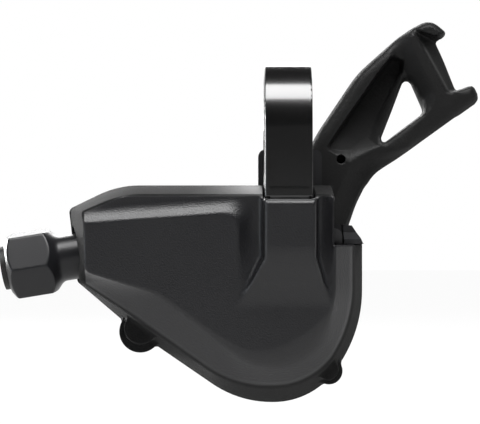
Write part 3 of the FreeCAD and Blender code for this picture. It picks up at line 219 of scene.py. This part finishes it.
def rounded(corners, spacing=0.5):
    """Points along an outline of straight runs and corner arcs."""
    points = []
    count = len(corners)
    for index in range(count):
        before = Vector(corners[index - 1][:2])
        corner = Vector(corners[index][:2])
        after = Vector(corners[(index + 1) % count][:2])
        radius = corners[index][2]
        coming = (corner - before).normalized()
        going = (after - corner).normalized()
        half_turn = coming.angle(going) / 2
        reach = radius * math.tan(half_turn)
        start = corner - coming * reach
        middle = corner + (going - coming).normalized() * (radius / math.cos(half_turn))
        turn = 2 * half_turn * (1 if coming.cross(going) > 0 else -1)
        arm = start - middle
        steps = max(2, int(radius * abs(turn) / spacing) + 1)
        for step in range(steps + 1):
            angle = turn * step / steps
            points.append((middle.x + arm.x * math.cos(angle) - arm.y * math.sin(angle),
                           middle.y + arm.x * math.sin(angle) + arm.y * math.cos(angle)))
    dense = []
    for (x0, z0), (x1, z1) in zip(points, points[1:] + points[:1]):
        steps = max(1, int(math.hypot(x1 - x0, z1 - z0) / spacing))
        dense += [(x0 + (x1 - x0) * s / steps, z0 + (z1 - z0) * s / steps) for s in range(steps)]
    return np.array(dense)


def outside(outline, x, z):
    """Distance from a closed outline, negative inside it."""
    x, z = np.broadcast_arrays(np.asarray(x, float), np.asarray(z, float))
    nearest = np.full(x.shape, 1e9)
    crossings = np.zeros(x.shape, int)
    for (x0, z0), (x1, z1) in zip(outline, np.roll(outline, -1, axis=0)):
        run_x, run_z = x1 - x0, z1 - z0
        away_x, away_z = x - x0, z - z0
        share = np.clip((away_x * run_x + away_z * run_z) / (run_x * run_x + run_z * run_z), 0, 1)
        nearest = np.minimum(nearest, (away_x - run_x * share) ** 2 + (away_z - run_z * share) ** 2)
        spans = (z0 > z) != (z1 > z)
        if abs(run_z) > 1e-12:
            crossings += spans & (x < x0 + run_x * (z - z0) / run_z)
    return np.sqrt(nearest) * np.where(crossings % 2 == 1, -1.0, 1.0)


def reach_table(corners):
    """Radius of an outline by angle round the cover's centre."""
    points = rounded(corners)
    angles = np.arctan2(points[:, 1] - COVER_CENTRE[1], points[:, 0] - COVER_CENTRE[0])
    radii = np.hypot(points[:, 1] - COVER_CENTRE[1], points[:, 0] - COVER_CENTRE[0])
    order = np.argsort(angles)
    grid = np.linspace(-math.pi, math.pi, 1441)
    return grid, np.interp(grid, angles[order], radii[order], period=2 * math.pi)


# Reach of the three outlines by angle, and how squarely the rim stands to its radius there
ANGLES, PARTING_REACH = reach_table(PARTING_OUTLINE)
RIM_REACH = reach_table(RIM_OUTLINE)[1]
FACE_REACH = reach_table(FACE_OUTLINE)[1]
LEAN = 1 / np.sqrt(1 + (np.gradient(RIM_REACH, ANGLES) / RIM_REACH) ** 2)


def skin(name, form, low, high, cell):
    """Closed mesh object on the surface where form is zero, with the form's own normals."""
    low, high = np.array(low, float), np.array(high, float)
    counts = np.ceil((high - low) / cell).astype(int) + 1
    ticks = [low[axis] + cell * np.arange(counts[axis]) for axis in range(3)]
    values = np.empty(counts)
    for index, x in enumerate(ticks[0]):
        values[index] = form(np.float64(x), ticks[1][:, None], ticks[2][None, :])

    # Each cell that the surface crosses gets one point, in the middle of its crossed edges
    inside = values < 0
    shifts = [(i, j, k) for i in (0, 1) for j in (0, 1) for k in (0, 1)]
    span = [slice(None, -1), slice(1, None)]
    corners = {s: inside[span[s[0]], span[s[1]], span[s[2]]] for s in shifts}
    total = sum(c.astype(int) for c in corners.values())
    crossed = (total > 0) & (total < 8)
    cells = np.argwhere(crossed)
    number = np.full(crossed.shape, -1)
    number[crossed] = np.arange(len(cells))
    places = {s: values[cells[:, 0] + s[0], cells[:, 1] + s[1], cells[:, 2] + s[2]] for s in shifts}
    summed = np.zeros((len(cells), 3))
    hits = np.zeros(len(cells))
    for axis in range(3):
        for start in shifts:
            if start[axis]:
                continue
            end = tuple(1 if a == axis else start[a] for a in range(3))
            v0, v1 = places[start], places[end]
            cut = (v0 < 0) != (v1 < 0)
            share = np.where(cut, v0 / np.where(cut, v0 - v1, 1.0), 0.0)
            spot = np.array(start, float)[None, :] + share[:, None] * np.eye(3)[axis]
            summed += spot * cut[:, None]
            hits += cut
    points = low + (cells + summed / hits[:, None]) * cell

    def slope(samples):
        parts = []
        for axis in range(3):
            ahead, behind = samples.copy(), samples.copy()
            ahead[:, axis] += SLOPE_STEP
            behind[:, axis] -= SLOPE_STEP
            parts.append((form(*ahead.T) - form(*behind.T)) / (2 * SLOPE_STEP))
        return np.stack(parts, 1)

    for _ in range(SETTLING_ROUNDS):
        lean = slope(points)
        push = form(*points.T)[:, None] * lean / np.maximum((lean ** 2).sum(1), 0.2)[:, None]
        points -= np.clip(push, -0.4 * cell, 0.4 * cell)

    # Each grid edge that crosses the surface is the middle of one four-sided face
    faces = []
    for axis in range(3):
        b, c = (axis + 1) % 3, (axis + 2) % 3
        ahead = [slice(None)] * 3
        behind = [slice(None)] * 3
        ahead[axis], behind[axis] = slice(1, None), slice(None, -1)
        change = inside[tuple(behind)] != inside[tuple(ahead)]
        spots = np.argwhere(change)
        spots = spots[(spots[:, b] > 0) & (spots[:, c] > 0)]
        spots = spots[(spots[:, b] < counts[b] - 1) & (spots[:, c] < counts[c] - 1)]
        step_b, step_c = np.eye(3, dtype=int)[b], np.eye(3, dtype=int)[c]
        ring = [spots - step_b - step_c, spots - step_c, spots, spots - step_b]
        quads = np.stack([number[tuple(r.T)] for r in ring], 1)
        outward = inside[tuple(spots.T)]
        faces.append(np.where(outward[:, None], quads, quads[:, ::-1]))
    mesh = bpy.data.meshes.new(name)
    mesh.from_pydata((points * MM).tolist(), [], np.concatenate(faces).tolist())
    mesh.polygons.foreach_set("use_smooth", np.ones(len(mesh.polygons), bool))
    normals = slope(points)
    normals /= np.maximum(np.linalg.norm(normals, axis=1), 1e-9)[:, None]
    mesh.normals_split_custom_set_from_vertices(normals.tolist())
    piece = bpy.data.objects.new(name, mesh)
    bpy.context.scene.collection.objects.link(piece)
    return piece


def block(x, y, z, low, high):
    """Distance from a box, negative inside it."""
    return np.maximum(np.maximum(np.maximum(low[0] - x, x - high[0]), np.maximum(low[1] - y, y - high[1])),
                      np.maximum(low[2] - z, z - high[2]))


def cover_front(x, z):
    """Depth of the cover's front: the raised face, the scoop above it and the two troughs."""
    edge_z = SCOOP_LEFT[1] + (x - SCOOP_LEFT[0]) * (SCOOP_RIGHT[1] - SCOOP_LEFT[1]) / (
        SCOOP_RIGHT[0] - SCOOP_LEFT[0])
    toe = ease((z - TROUGH_TOE_Z) / (TROUGH_TOP_Z - TROUGH_TOE_Z))
    past_edge = smooth_max(smooth_max(z - edge_z, x - TROUGH_LEFT_X, 4.0), 0.0, 0.5)
    left = 1 - (1 - np.clip(past_edge / SCOOP_RAMP, 0, 1)) ** 2
    right = 1 - (1 - np.clip(smooth_max(TROUGH_RIGHT_X - x, 0.0, 0.5) / SCOOP_RAMP, 0, 1)) ** 2
    beyond = ease((x - TROUGHS_PART_X) / 2.0)
    sunk = left * np.where(z > TROUGH_TOP_Z, 1.0, toe) * (1 - beyond) + right * toe * beyond
    return FACE_Y + SCOOP_DEPTH * sunk


def pedestal_form(x, y, z):
    """The raised block over the band's foot, which flares as it slopes down to the face."""
    below = np.maximum(PEDESTAL_LOW_Z - z, 0)
    slant = (PEDESTAL_Y - FACE_Y) / (PEDESTAL_LOW_Z - PEDESTAL_TOE_Z)
    draft = (y - PEDESTAL_Y) * PEDESTAL_DRAFT
    left = -x - (PEDESTAL_HALF + draft + below * PEDESTAL_FLARE_LEFT)
    right = x - (PEDESTAL_HALF + 0.1 + draft + below * PEDESTAL_FLARE_RIGHT)
    apron = (PEDESTAL_Y + slant * (z - PEDESTAL_LOW_Z) - y) / math.hypot(1, slant)
    front = smooth_max(PEDESTAL_Y - y, apron, 1.2)
    sides = smooth_max(left, right, 0.5)
    form = smooth_max(front, sides, 1.1)
    top = z - PEDESTAL_TOP_Z + (PEDESTAL_Y + PEDESTAL_BEVEL - y) * 0.8
    form = smooth_max(form, np.maximum(z - PEDESTAL_TOP_Z, top * 0.78), 0.4)
    form = np.maximum(form, PEDESTAL_TOE_Z - 2.0 - z)
    return smooth_max(form, y - 1.0, 0.5)


def cover_body(x, y, z):
    """The cover's outer form, without the pedestal and the ears."""
    away_x, away_z = x - COVER_CENTRE[0], z - COVER_CENTRE[1]
    angle = np.arctan2(away_z, away_x)
    radius = np.hypot(away_x, away_z)
    parting, rim, face, lean = (np.interp(angle, ANGLES, table)
                                for table in (PARTING_REACH, RIM_REACH, FACE_REACH, LEAN))
    skirt = (radius - parting - (rim - parting) * (PARTING_Y - y) / (PARTING_Y - RIM_Y)) * lean
    narrowing = (rim - face) / (RIM_Y - FACE_Y)
    bevel = (radius - rim + narrowing * (RIM_Y - y)) * lean / np.hypot(1, narrowing * lean)
    sides = smooth_max(skirt, bevel, 0.8)
    soft = ease((x - SOFT_FROM_X) / 22) * ease((SOFT_FROM_Z - z) / 8)
    front = (cover_front(x, z) - y) * 0.85
    return smooth_max(sides, front, FRONT_CREASE + SOFT_GAIN * soft)


def adjuster_place(x, z):
    """Distance along the adjuster's axis from the knob's middle, and upwards across it."""
    away_x, away_z = x - ADJUSTER_CENTRE[0], z - ADJUSTER_CENTRE[2]
    cosine, sine = math.cos(ADJUSTER_TILT), math.sin(ADJUSTER_TILT)
    return -away_x * cosine - away_z * sine, -away_x * sine + away_z * cosine


def cover_form(x, y, z):
    """The whole cover: body, pedestal and ears, hollowed for the neck, the wall, the foot and the notch."""
    body = cover_body(x, y, z)
    form = smooth_min(body, pedestal_form(x, y, z), 1.1)
    for (ear_x, ear_z, radius), flange in zip((LEFT_EAR, RIGHT_EAR), EAR_FLANGES):
        ear = smooth_max(np.hypot(x - ear_x, z - ear_z) - radius, EAR_FRONT_Y - y, 0.4)
        rim = smooth_max(np.hypot(x - flange[0], z - flange[1]) - flange[2], FLANGE_FRONT_Y - y, 0.4)
        form = smooth_min(form, smooth_min(ear, rim, 0.4), 0.9)
    along, across = adjuster_place(x, z)
    bowl = np.sqrt(((along - BOWL_ALONG) / BOWL_RADII[0]) ** 2 + ((y - BOWL_Y) / BOWL_RADII[1]) ** 2
                   + (across / BOWL_RADII[2]) ** 2) - 1
    form = smooth_max(form, -bowl * BOWL_SCALE, 0.3)
    neck = np.maximum(np.hypot(y - ADJUSTER_CENTRE[1], across) - NECK_ROOM_RADIUS, -along - NECK_ROOM_LENGTH)
    form = np.maximum(form, -neck)
    form = np.maximum(form, -(body + COVER_WALL))
    for room_low, room_high in FOOT_ROOM:
        form = np.maximum(form, -block(x, y, z, room_low, room_high))
    form = smooth_max(form, -block(x, y, z, *NOTCH), 0.3)
    return np.maximum(form, y - PARTING_Y)


def band_form(x, y, z):
    """Folded strip: round the bar above, straight legs below, and a narrow foot in front."""
    middle = BAR_RADIUS + BAND_THICKNESS / 2
    half = BAND_THICKNESS / 2
    ring = np.abs(np.hypot(y, z) - middle) - half
    legs = np.abs(np.abs(y) - middle) - half
    strip = np.where(z > 0, ring, legs)
    form = smooth_max(strip, np.abs(x - BAND_MIDDLE) - BAND_HALF, 0.2)
    form = smooth_max(form, REAR_LEG_END_Z - z + np.where(y < 0, -OUT_OF_PLAY, 0.0), 0.5)
    form = smooth_max(form, FRONT_LEG_END_Z - z + np.where(y < 0, 0.0, -OUT_OF_PLAY), 0.3)
    form = smooth_min(form, block(x, y, z, *FOOT_BLOCK), 0.2)
    hole = np.maximum(np.hypot(x, z - BOLT_Z) - BOLT_HOLE_RADIUS, BOLT_HOLE_END_Y - y)
    return np.maximum(form, -hole)


LEVER_EDGE = rounded(LEVER_OUTLINE, 1.2)
WINDOW_EDGE = rounded(LEVER_WINDOW, 1.0)
POCKET_EDGE = rounded(LEVER_POCKET, 1.2)
PAD_EDGE = rounded(PAD_OUTLINE, 1.0)


def beside(line, x, z):
    """Distance along a line from its start, and to its left as it runs."""
    (x0, z0), (x1, z1) = line
    length = math.hypot(x1 - x0, z1 - z0)
    run_x, run_z = (x1 - x0) / length, (z1 - z0) / length
    return (x - x0) * run_x + (z - z0) * run_z, (z - z0) * run_x - (x - x0) * run_z


def lever_front(x, z):
    """How far the lever's front lies behind its foremost plane: web, pad, horn, root and facet."""
    pocket = outside(POCKET_EDGE, x, z)
    up_arm, over_arm = beside(WEB_LINE, x, z)
    past_ridge = beside(PAD_RIDGE, x, z)[1]
    above_lower = beside(LOWER_ARM, x, z)[1]
    off_root = beside(ROOT_LINE, x, z)[1]
    wall = WEB_WALL + WEB_WALL_GAIN * ease((-over_arm - 1.0) / 5.0)
    web = (WEB_DEPTH + WEB_DEPTH_GAIN * ease((up_arm + 2.0) / 15.0)) * ease((0.4 - pocket) / wall)
    in_pad = ease((above_lower - 2.0) / 4.0)
    hollow = np.minimum(PAD_HOLLOW * np.minimum(past_ridge, 0) ** 2, PAD_HOLLOW_MOST)
    left_fall = hollow * in_pad * ease((x - PAD_LEFT_X) / 4.0)
    horn = HORN_SLOPE * np.maximum(HORN_WIDTH - above_lower, 0) * ease((x - HORN_LEFT_X) / 4.0)
    root_fall = ease((ROOT_TOP_Z - z) / 6.0) * ROOT_SLOPE * np.maximum(off_root, 0)
    facet = FACET_SLOPE * np.maximum(off_root - FACET_OFFSET, 0) * ease((FACET_TOP_Z - z) / 2.0)
    return np.maximum(web, left_fall) + horn + root_fall + facet


def thumb_cut(x, y, z):
    """What the slanted thumb face takes off between the two horns."""
    slant = (LEVER_FRONT_Y + THUMB_SLOPE * beside(PAD_RIDGE, x, z)[1] - y) / math.hypot(1, THUMB_SLOPE)
    between = smooth_min(-beside(THUMB_TOP, x, z)[1], beside(THUMB_FOOT, x, z)[1], 1.0)
    return smooth_min(slant, between, 1.0)


def lever_form(x, y, z):
    """One-piece thumb lever: hub, two arms round a window, and a cupped pad between two horns."""
    edge = outside(LEVER_EDGE, x, z)
    off_axle = np.hypot(x - AXLE[0], z - AXLE[1])
    window = outside(WINDOW_EDGE, x, z)
    front = LEVER_FRONT_Y + lever_front(x, z) - y
    arm = smooth_max(edge, front * 0.8, 2.6)
    arm = smooth_max(arm, y - LEVER_BACK_Y, 1.6)
    pad = smooth_max(outside(PAD_EDGE, x, z), front * 0.5, 2.2)
    pad = smooth_max(pad, y - PAD_BACK_Y, 1.2)
    form = smooth_min(arm, pad, 0.8)
    form = smooth_max(form, thumb_cut(x, y, z), 0.9)
    form = smooth_max(form, -(window + 0.1), 1.4)
    boss = smooth_max(smooth_max(off_axle - HUB_RADIUS, LEVER_FRONT_Y - y, 0.8), y - LEVER_BACK_Y, 0.8)
    form = smooth_min(form, boss, 0.8)
    rivet = np.maximum(np.hypot(x - RIVET_HOLE[0], z - RIVET_HOLE[1]) - RIVET_RADIUS,
                       y - LEVER_FRONT_Y - RIVET_DEPTH)
    form = smooth_max(form, -rivet, 0.2)
    form = np.maximum(form, HUB_BORE - off_axle)
    return np.maximum(form, LEVER_FRONT_Y - y)


def knob_form(x, y, z):
    """Six-sided knob with coned ends and a round neck, open where the barrel runs."""
    along, up = adjuster_place(x, z)
    out = y - ADJUSTER_CENTRE[1]
    radius = np.hypot(out, up)
    angle = np.arctan2(up, out) - KNOB_TURN
    flat_radius = KNOB_CORNER_RADIUS * math.cos(math.radians(30))
    sides = [radius * np.cos(angle - math.radians(turn)) - flat_radius for turn in range(30, 390, 60)]
    body = sides[0]
    for side in sides[1:]:
        body = smooth_max(body, side, 0.3)
    front_cone = (radius - KNOB_CORNER_RADIUS + (along - KNOB_HALF_LENGTH) * FRONT_CONE[0]) / FRONT_CONE[1]
    rear_cone = (radius - KNOB_CORNER_RADIUS - (along + KNOB_HALF_LENGTH) * REAR_CONE[0]) / REAR_CONE[1]
    body = smooth_max(smooth_max(body, front_cone, 0.25), rear_cone, 0.25)
    body = smooth_max(body, along - KNOB_HALF_LENGTH - KNOB_FRONT_LIP, 0.3)
    body = smooth_max(body, -along - KNOB_HALF_LENGTH - KNOB_REAR_LIP, 0.3)
    neck = np.maximum(np.maximum(radius - NECK_RADIUS, -along - NECK_LENGTH), along)
    form = smooth_min(body, neck, 0.7)
    return np.maximum(form, KNOB_BORE - radius)


def mix_group(name, inputs, outputs):
    """Empty shader node group with named inputs and outputs."""
    group = bpy.data.node_groups.new(name, "ShaderNodeTree")
    for label, kind, value in inputs:
        socket = group.interface.new_socket(label, in_out="INPUT", socket_type=kind)
        socket.default_value = value
    for label, kind in outputs:
        group.interface.new_socket(label, in_out="OUTPUT", socket_type=kind)
    source = group.nodes.new("NodeGroupInput")
    result = group.nodes.new("NodeGroupOutput")
    return group, source, result


def moulded_grain_group():
    """Fine grain and slow patches of moulded plastic: colour, roughness and normal."""
    group, source, result = mix_group(
        "moulded grain",
        [("Colour", "NodeSocketColor", (0.02, 0.02, 0.02, 1)), ("Roughness", "NodeSocketFloat", 0.45),
         ("Grain size", "NodeSocketFloat", 2500.0), ("Grain depth", "NodeSocketFloat", 0.1),
         ("Patchiness", "NodeSocketFloat", 0.1)],
        [("Colour", "NodeSocketColor"), ("Roughness", "NodeSocketFloat"), ("Normal", "NodeSocketVector")])
    nodes, links = group.nodes, group.links
    place = nodes.new("ShaderNodeTexCoord")
    grain = nodes.new("ShaderNodeTexNoise")
    grain.inputs["Detail"].default_value = 3.0
    links.new(place.outputs["Object"], grain.inputs["Vector"])
    links.new(source.outputs["Grain size"], grain.inputs["Scale"])
    patches = nodes.new("ShaderNodeTexNoise")
    patches.inputs["Scale"].default_value = 90.0
    patches.inputs["Detail"].default_value = 4.0
    links.new(place.outputs["Object"], patches.inputs["Vector"])
    shade = nodes.new("ShaderNodeMath")
    shade.operation = "MULTIPLY_ADD"
    links.new(patches.outputs["Fac"], shade.inputs[0])
    links.new(source.outputs["Patchiness"], shade.inputs[1])
    shade.inputs[2].default_value = 0.95
    tinted = nodes.new("ShaderNodeVectorMath")
    tinted.operation = "SCALE"
    links.new(source.outputs["Colour"], tinted.inputs[0])
    links.new(shade.outputs[0], tinted.inputs["Scale"])
    links.new(tinted.outputs["Vector"], result.inputs["Colour"])
    rough = nodes.new("ShaderNodeMath")
    rough.operation = "MULTIPLY_ADD"
    links.new(patches.outputs["Fac"], rough.inputs[0])
    links.new(source.outputs["Patchiness"], rough.inputs[1])
    links.new(source.outputs["Roughness"], rough.inputs[2])
    links.new(rough.outputs[0], result.inputs["Roughness"])
    bump = nodes.new("ShaderNodeBump")
    bump.inputs["Distance"].default_value = 0.0001
    links.new(source.outputs["Grain depth"], bump.inputs["Strength"])
    links.new(grain.outputs["Fac"], bump.inputs["Height"])
    links.new(bump.outputs["Normal"], result.inputs["Normal"])
    return group


GRAIN = moulded_grain_group()


def painted_shade_share(nodes, links, front, back, painted_highlight=None):
    """Share of a piece's painted shade by depth: a darker colour, with a rougher finish, towards the back.

    With a painted highlight, the painted shade also spreads over the cover's top strip and left bevel, and
    the painted highlight takes it off along the strip, growing towards the right.
    """
    place = nodes.new("ShaderNodeTexCoord")
    axes = nodes.new("ShaderNodeSeparateXYZ")
    links.new(place.outputs["Object"], axes.inputs[0])

    def spread(value, start, end, most=1.0):
        share = nodes.new("ShaderNodeMapRange")
        share.interpolation_type = "SMOOTHSTEP"
        links.new(value, share.inputs["Value"])
        share.inputs["From Min"].default_value = start * MM
        share.inputs["From Max"].default_value = end * MM
        share.inputs["To Max"].default_value = most
        return share.outputs["Result"]

    # Painted shade: darker colour and rougher finish as the surface lies deeper
    painted_shade = spread(axes.outputs["Y"], front, back)
    if not painted_highlight:
        return painted_shade

    def joined(operation, first, second):
        step = nodes.new("ShaderNodeMath")
        step.operation = operation
        for socket, value in zip(step.inputs, (first, second)):
            if isinstance(value, float):
                socket.default_value = value
            else:
                links.new(value, socket)
        return step.outputs[0]

    x_start, x_full, x_stop, z_start, z_full, most = painted_highlight
    across, up = axes.outputs["X"], axes.outputs["Z"]
    past_corner = joined("MAXIMUM", joined("SUBTRACT", FACE_CORNER_X * MM, across), 0.0)
    raised = joined("ADD", up, joined("MULTIPLY", past_corner, CORNER_SLOPE))
    # Painted shade on the top strip and the left bevel; a painted highlight takes it off along the strip,
    # growing to the right
    top = spread(raised, z_start, z_full)
    side = spread(across, FACE_LEFT_X, FACE_LEFT_X - FACE_LEFT_FADE)
    growing = spread(across, x_start, x_full, most)
    ending = spread(across, x_stop + PAINTED_HIGHLIGHT_FADE, x_stop)
    painted_highlight_share = joined("MULTIPLY", joined("MULTIPLY", growing, ending), top)
    painted_shade_spread = joined("MAXIMUM", joined("MAXIMUM", painted_shade, side), top)
    return joined("MULTIPLY", painted_shade_spread, joined("SUBTRACT", 1.0, painted_highlight_share))


def finish_material(name, colour, roughness, grain_size, grain_depth, patchiness, metallic=0.0,
                    coat=0.0, specular=0.5, painted_shade=None, painted_highlight=None):
    """Material whose colour, roughness and normal come from the grain group."""
    material = bpy.data.materials.new(name)
    material.use_nodes = True
    nodes, links = material.node_tree.nodes, material.node_tree.links
    shader = nodes["Principled BSDF"]
    shader.inputs["Metallic"].default_value = metallic
    shader.inputs["Specular IOR Level"].default_value = specular
    shader.inputs["Coat Weight"].default_value = coat
    shader.inputs["Coat Roughness"].default_value = 0.08
    grain = nodes.new("ShaderNodeGroup")
    grain.node_tree = GRAIN
    grain.inputs["Colour"].default_value = (*colour, 1)
    grain.inputs["Roughness"].default_value = roughness
    grain.inputs["Grain size"].default_value = grain_size
    grain.inputs["Grain depth"].default_value = grain_depth
    grain.inputs["Patchiness"].default_value = patchiness
    links.new(grain.outputs["Colour"], shader.inputs["Base Color"])
    links.new(grain.outputs["Roughness"], shader.inputs["Roughness"])
    links.new(grain.outputs["Normal"], shader.inputs["Normal"])
    # Painted shade: the mask mixes in a darker colour, and a rougher finish, by depth
    if painted_shade:
        painted_shade_colour, shaded_zone_roughness, start, end = painted_shade
        painted_shade_mask = painted_shade_share(nodes, links, start, end, painted_highlight)
        painted_shade_tint = nodes.new("ShaderNodeMix")
        painted_shade_tint.data_type = "RGBA"
        links.new(painted_shade_mask, painted_shade_tint.inputs[0])
        # Sockets 6 and 7 of a mix are its two colours, and 2 and 3 its two plain values
        painted_shade_tint.inputs[6].default_value = (*colour, 1)
        painted_shade_tint.inputs[7].default_value = (*painted_shade_colour, 1)
        links.new(painted_shade_tint.outputs[2], grain.inputs["Colour"])
        matt = nodes.new("ShaderNodeMix")
        links.new(painted_shade_mask, matt.inputs[0])
        matt.inputs[2].default_value = roughness
        matt.inputs[3].default_value = shaded_zone_roughness
        links.new(matt.outputs[0], grain.inputs["Roughness"])
    return material


# Painted shade is a darker colour painted for the shade of sides and recesses, with a rougher finish: a
# colour, a roughness and the depths between which it takes over. A painted highlight takes it off a strip: x
# where that starts, is full and stops, z where it starts and is full, and its share.
FINISHES = {
    # Cover: painted shade on the skirt, top strip and left bevel, and a painted highlight along the top
    # strip
    "cover_plastic": dict(colour=(0.007, 0.007, 0.008), roughness=0.29, grain_size=3000, grain_depth=0.8,
                          patchiness=0.12, specular=0.40,
                          painted_shade=((0.003, 0.003, 0.003), 1.0, RIM_Y - 0.9, RIM_Y + 0.5),
                          painted_highlight=(-25.0, 0.0, 1.0, -14.3, -13.8, 0.90)),
    "body_plastic": dict(colour=(0.012, 0.012, 0.013), roughness=0.55, grain_size=4200, grain_depth=0.12,
                         patchiness=0.12, specular=0.2),
    # Lever: painted shade on its pocket, slanted faces and sides, by depth
    "lever_plastic": dict(colour=(0.007, 0.007, 0.007), roughness=0.40, grain_size=1700, grain_depth=0.90,
                          patchiness=0.20, specular=0.15,
                          painted_shade=((0.005, 0.005, 0.005), 0.70, LEVER_FRONT_Y + 0.4, LEVER_FRONT_Y + 3.0)),
    "knob_plastic": dict(colour=(0.008, 0.008, 0.009), roughness=0.28, grain_size=4200, grain_depth=0.10,
                         patchiness=0.10, specular=0.30),
    "drum_plastic": dict(colour=(0.52, 0.51, 0.47), roughness=0.45, grain_size=3000, grain_depth=0.10,
                         patchiness=0.08),
    "bush_plastic": dict(colour=(0.60, 0.58, 0.52), roughness=0.45, grain_size=3000, grain_depth=0.10,
                         patchiness=0.08),
    "plug_rubber": dict(colour=(0.012, 0.012, 0.012), roughness=0.65, grain_size=3000, grain_depth=0.20,
                        patchiness=0.10),
    "black_anodised": dict(colour=(0.002, 0.002, 0.002), roughness=0.18, grain_size=5000, grain_depth=0.03,
                           patchiness=0.06, coat=0.4, specular=0.65),
    "dark_steel": dict(colour=(0.06, 0.06, 0.065), roughness=0.32, grain_size=3500, grain_depth=0.10,
                       patchiness=0.15, metallic=1.0),
    "plate_steel": dict(colour=(0.07, 0.07, 0.072), roughness=0.32, grain_size=3500, grain_depth=0.10,
                        patchiness=0.15, metallic=1.0),
    "spring_steel": dict(colour=(0.32, 0.32, 0.33), roughness=0.28, grain_size=3500, grain_depth=0.08,
                         patchiness=0.10, metallic=1.0),
}
MATERIALS = {slot: finish_material(slot.replace("_", " "), **finish) for slot, finish in FINISHES.items()}

node_slots = {entry["node"]: entry["material_slot"] for entry in frame["record"]["subparts"]}
for node, piece in frame["nodes"].items():
    piece.data.materials.clear()
    piece.data.materials.append(MATERIALS[node_slots[node]])

# The barrel shares its slot with the band, but isn't glossy
barrel_finish = finish_material("matt anodised", colour=(0.010, 0.010, 0.010), roughness=0.45,
                                grain_size=4200, grain_depth=0.06, patchiness=0.10, specular=0.3)
frame["nodes"]["adjuster_barrel"].data.materials[0] = barrel_finish


def dressed(piece, node, body):
    """Gives a skinned piece its finish and its body, and hides the CAD node that it stands for."""
    piece.data.materials.append(MATERIALS[node_slots[node]])
    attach(piece, body)
    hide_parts(node)


cover = skin("moulded_cover", cover_form, (-47.0, -17.0, -58.5), (17.0, 5.0, -10.5), FINE)
dressed(cover, "front_cover", "housing")
band = skin("folded_band", band_form, (-6.0, -14.5, -20.5), (6.0, 14.5, 14.5), BAND_CELL)
dressed(band, "clamp_band", "housing")
lever = skin("thumb_lever", lever_form, (-10.5, 15.5, -41.5), (43.5, 29.0, 26.0), FINE)
dressed(lever, "shift_lever", "lever")
knob = skin("six_sided_knob", knob_form, (-62.5, -5.5, -37.5), (-39.5, 12.0, -18.5), KNOB_CELL)
dressed(knob, "adjuster_knob", "knob")


def pale_stage(name, corners, shadow=True):
    """White sheet of the studio, which the camera and reflections see as plain white."""
    mesh = bpy.data.meshes.new(name)
    mesh.from_pydata(corners, [], [(0, 1, 2, 3)])
    sheet = bpy.data.objects.new(name, mesh)
    bpy.context.scene.collection.objects.link(sheet)
    material = bpy.data.materials.new(name + " white")
    material.use_nodes = True
    nodes, links = material.node_tree.nodes, material.node_tree.links
    shader = nodes["Principled BSDF"]
    shader.inputs["Base Color"].default_value = (0.85, 0.85, 0.85, 1)
    shader.inputs["Roughness"].default_value = 0.9
    shader.inputs["Specular IOR Level"].default_value = 0.1
    glow = nodes.new("ShaderNodeEmission")
    glow.inputs["Color"].default_value = (1, 1, 1, 1)
    rays = nodes.new("ShaderNodeLightPath")
    seen = nodes.new("ShaderNodeMath")
    seen.operation = "MAXIMUM"
    links.new(rays.outputs["Is Glossy Ray"], seen.inputs[0])
    links.new(rays.outputs["Is Transmission Ray"], seen.inputs[1])
    either = nodes.new("ShaderNodeMath")
    either.operation = "MAXIMUM"
    links.new(seen.outputs[0], either.inputs[0])
    links.new(rays.outputs["Is Camera Ray"], either.inputs[1])
    share = nodes.new("ShaderNodeMath")
    share.operation = "MULTIPLY"
    links.new(either.outputs[0], share.inputs[0])
    share.inputs[1].default_value = 0.96 if shadow else 1.0
    mixed = nodes.new("ShaderNodeMixShader")
    links.new(share.outputs[0], mixed.inputs[0])
    links.new(shader.outputs[0], mixed.inputs[1])
    links.new(glow.outputs[0], mixed.inputs[2])
    links.new(mixed.outputs[0], nodes["Material Output"].inputs["Surface"])
    mesh.materials.append(material)


FLOOR_Z = -0.075
pale_stage("floor", [(-3, -3, FLOOR_Z), (3, -3, FLOOR_Z), (3, 1.5, FLOOR_Z), (-3, 1.5, FLOOR_Z)])
pale_stage("backdrop", [(-3, 1.5, FLOOR_Z), (3, 1.5, FLOOR_Z), (3, 1.5, 1), (-3, 1.5, 1)], shadow=False)


def soft_box(name, place, target, size, power, colour=(1, 1, 1)):
    """Rectangular lamp at a place, turned to a target."""
    lamp = bpy.data.lights.new(name, "AREA")
    lamp.shape = "RECTANGLE"
    lamp.size, lamp.size_y = size
    lamp.energy = power
    lamp.color = colour
    holder = bpy.data.objects.new(name, lamp)
    bpy.context.scene.collection.objects.link(holder)
    holder.location = place
    holder.rotation_mode = "QUATERNION"
    holder.rotation_quaternion = (Vector(target) - Vector(place)).to_track_quat("-Z", "Y")


COOL_WHITE = (0.86, 0.93, 1.0)
soft_box("top_box", (0.0, -0.20, 0.46), (0, 0, 0), (0.6, 0.28), 7.0)
soft_box("left_box", (-0.55, -0.25, -0.10), (-0.03, 0, -0.03), (0.3, 0.3), 1.5, COOL_WHITE)
soft_box("back_box", (-0.45, 0.42, 0.02), (0, 0, -0.02), (0.4, 0.12), 5.0)
soft_box("strip_box", (-0.10, 0.50, 0.26), (-0.01, 0, -0.012), (0.5, 0.2), 2.6)
soft_box("right_box", (0.45, -0.20, -0.25), (0, 0, -0.03), (0.3, 0.3), 0.8, COOL_WHITE)

world = bpy.data.worlds.new("studio")
bpy.context.scene.world = world
world.use_nodes = True
surround = world.node_tree.nodes["Background"]
surround.inputs["Color"].default_value = (1, 1, 1, 1)
surround.inputs["Strength"].default_value = 0.05

camera_data = bpy.data.cameras.new("camera")
camera_data.sensor_width = 36
camera_data.lens = 144
camera_data.clip_start = 0.01
camera_data.clip_end = 20
camera = bpy.data.objects.new("camera", camera_data)
bpy.context.scene.collection.objects.link(camera)
camera.location = (-0.010, -0.400, -0.0173)
camera.rotation_euler = (math.radians(90), 0, 0)
bpy.context.scene.camera = camera
bpy.context.scene.view_settings.view_transform = "Standard"
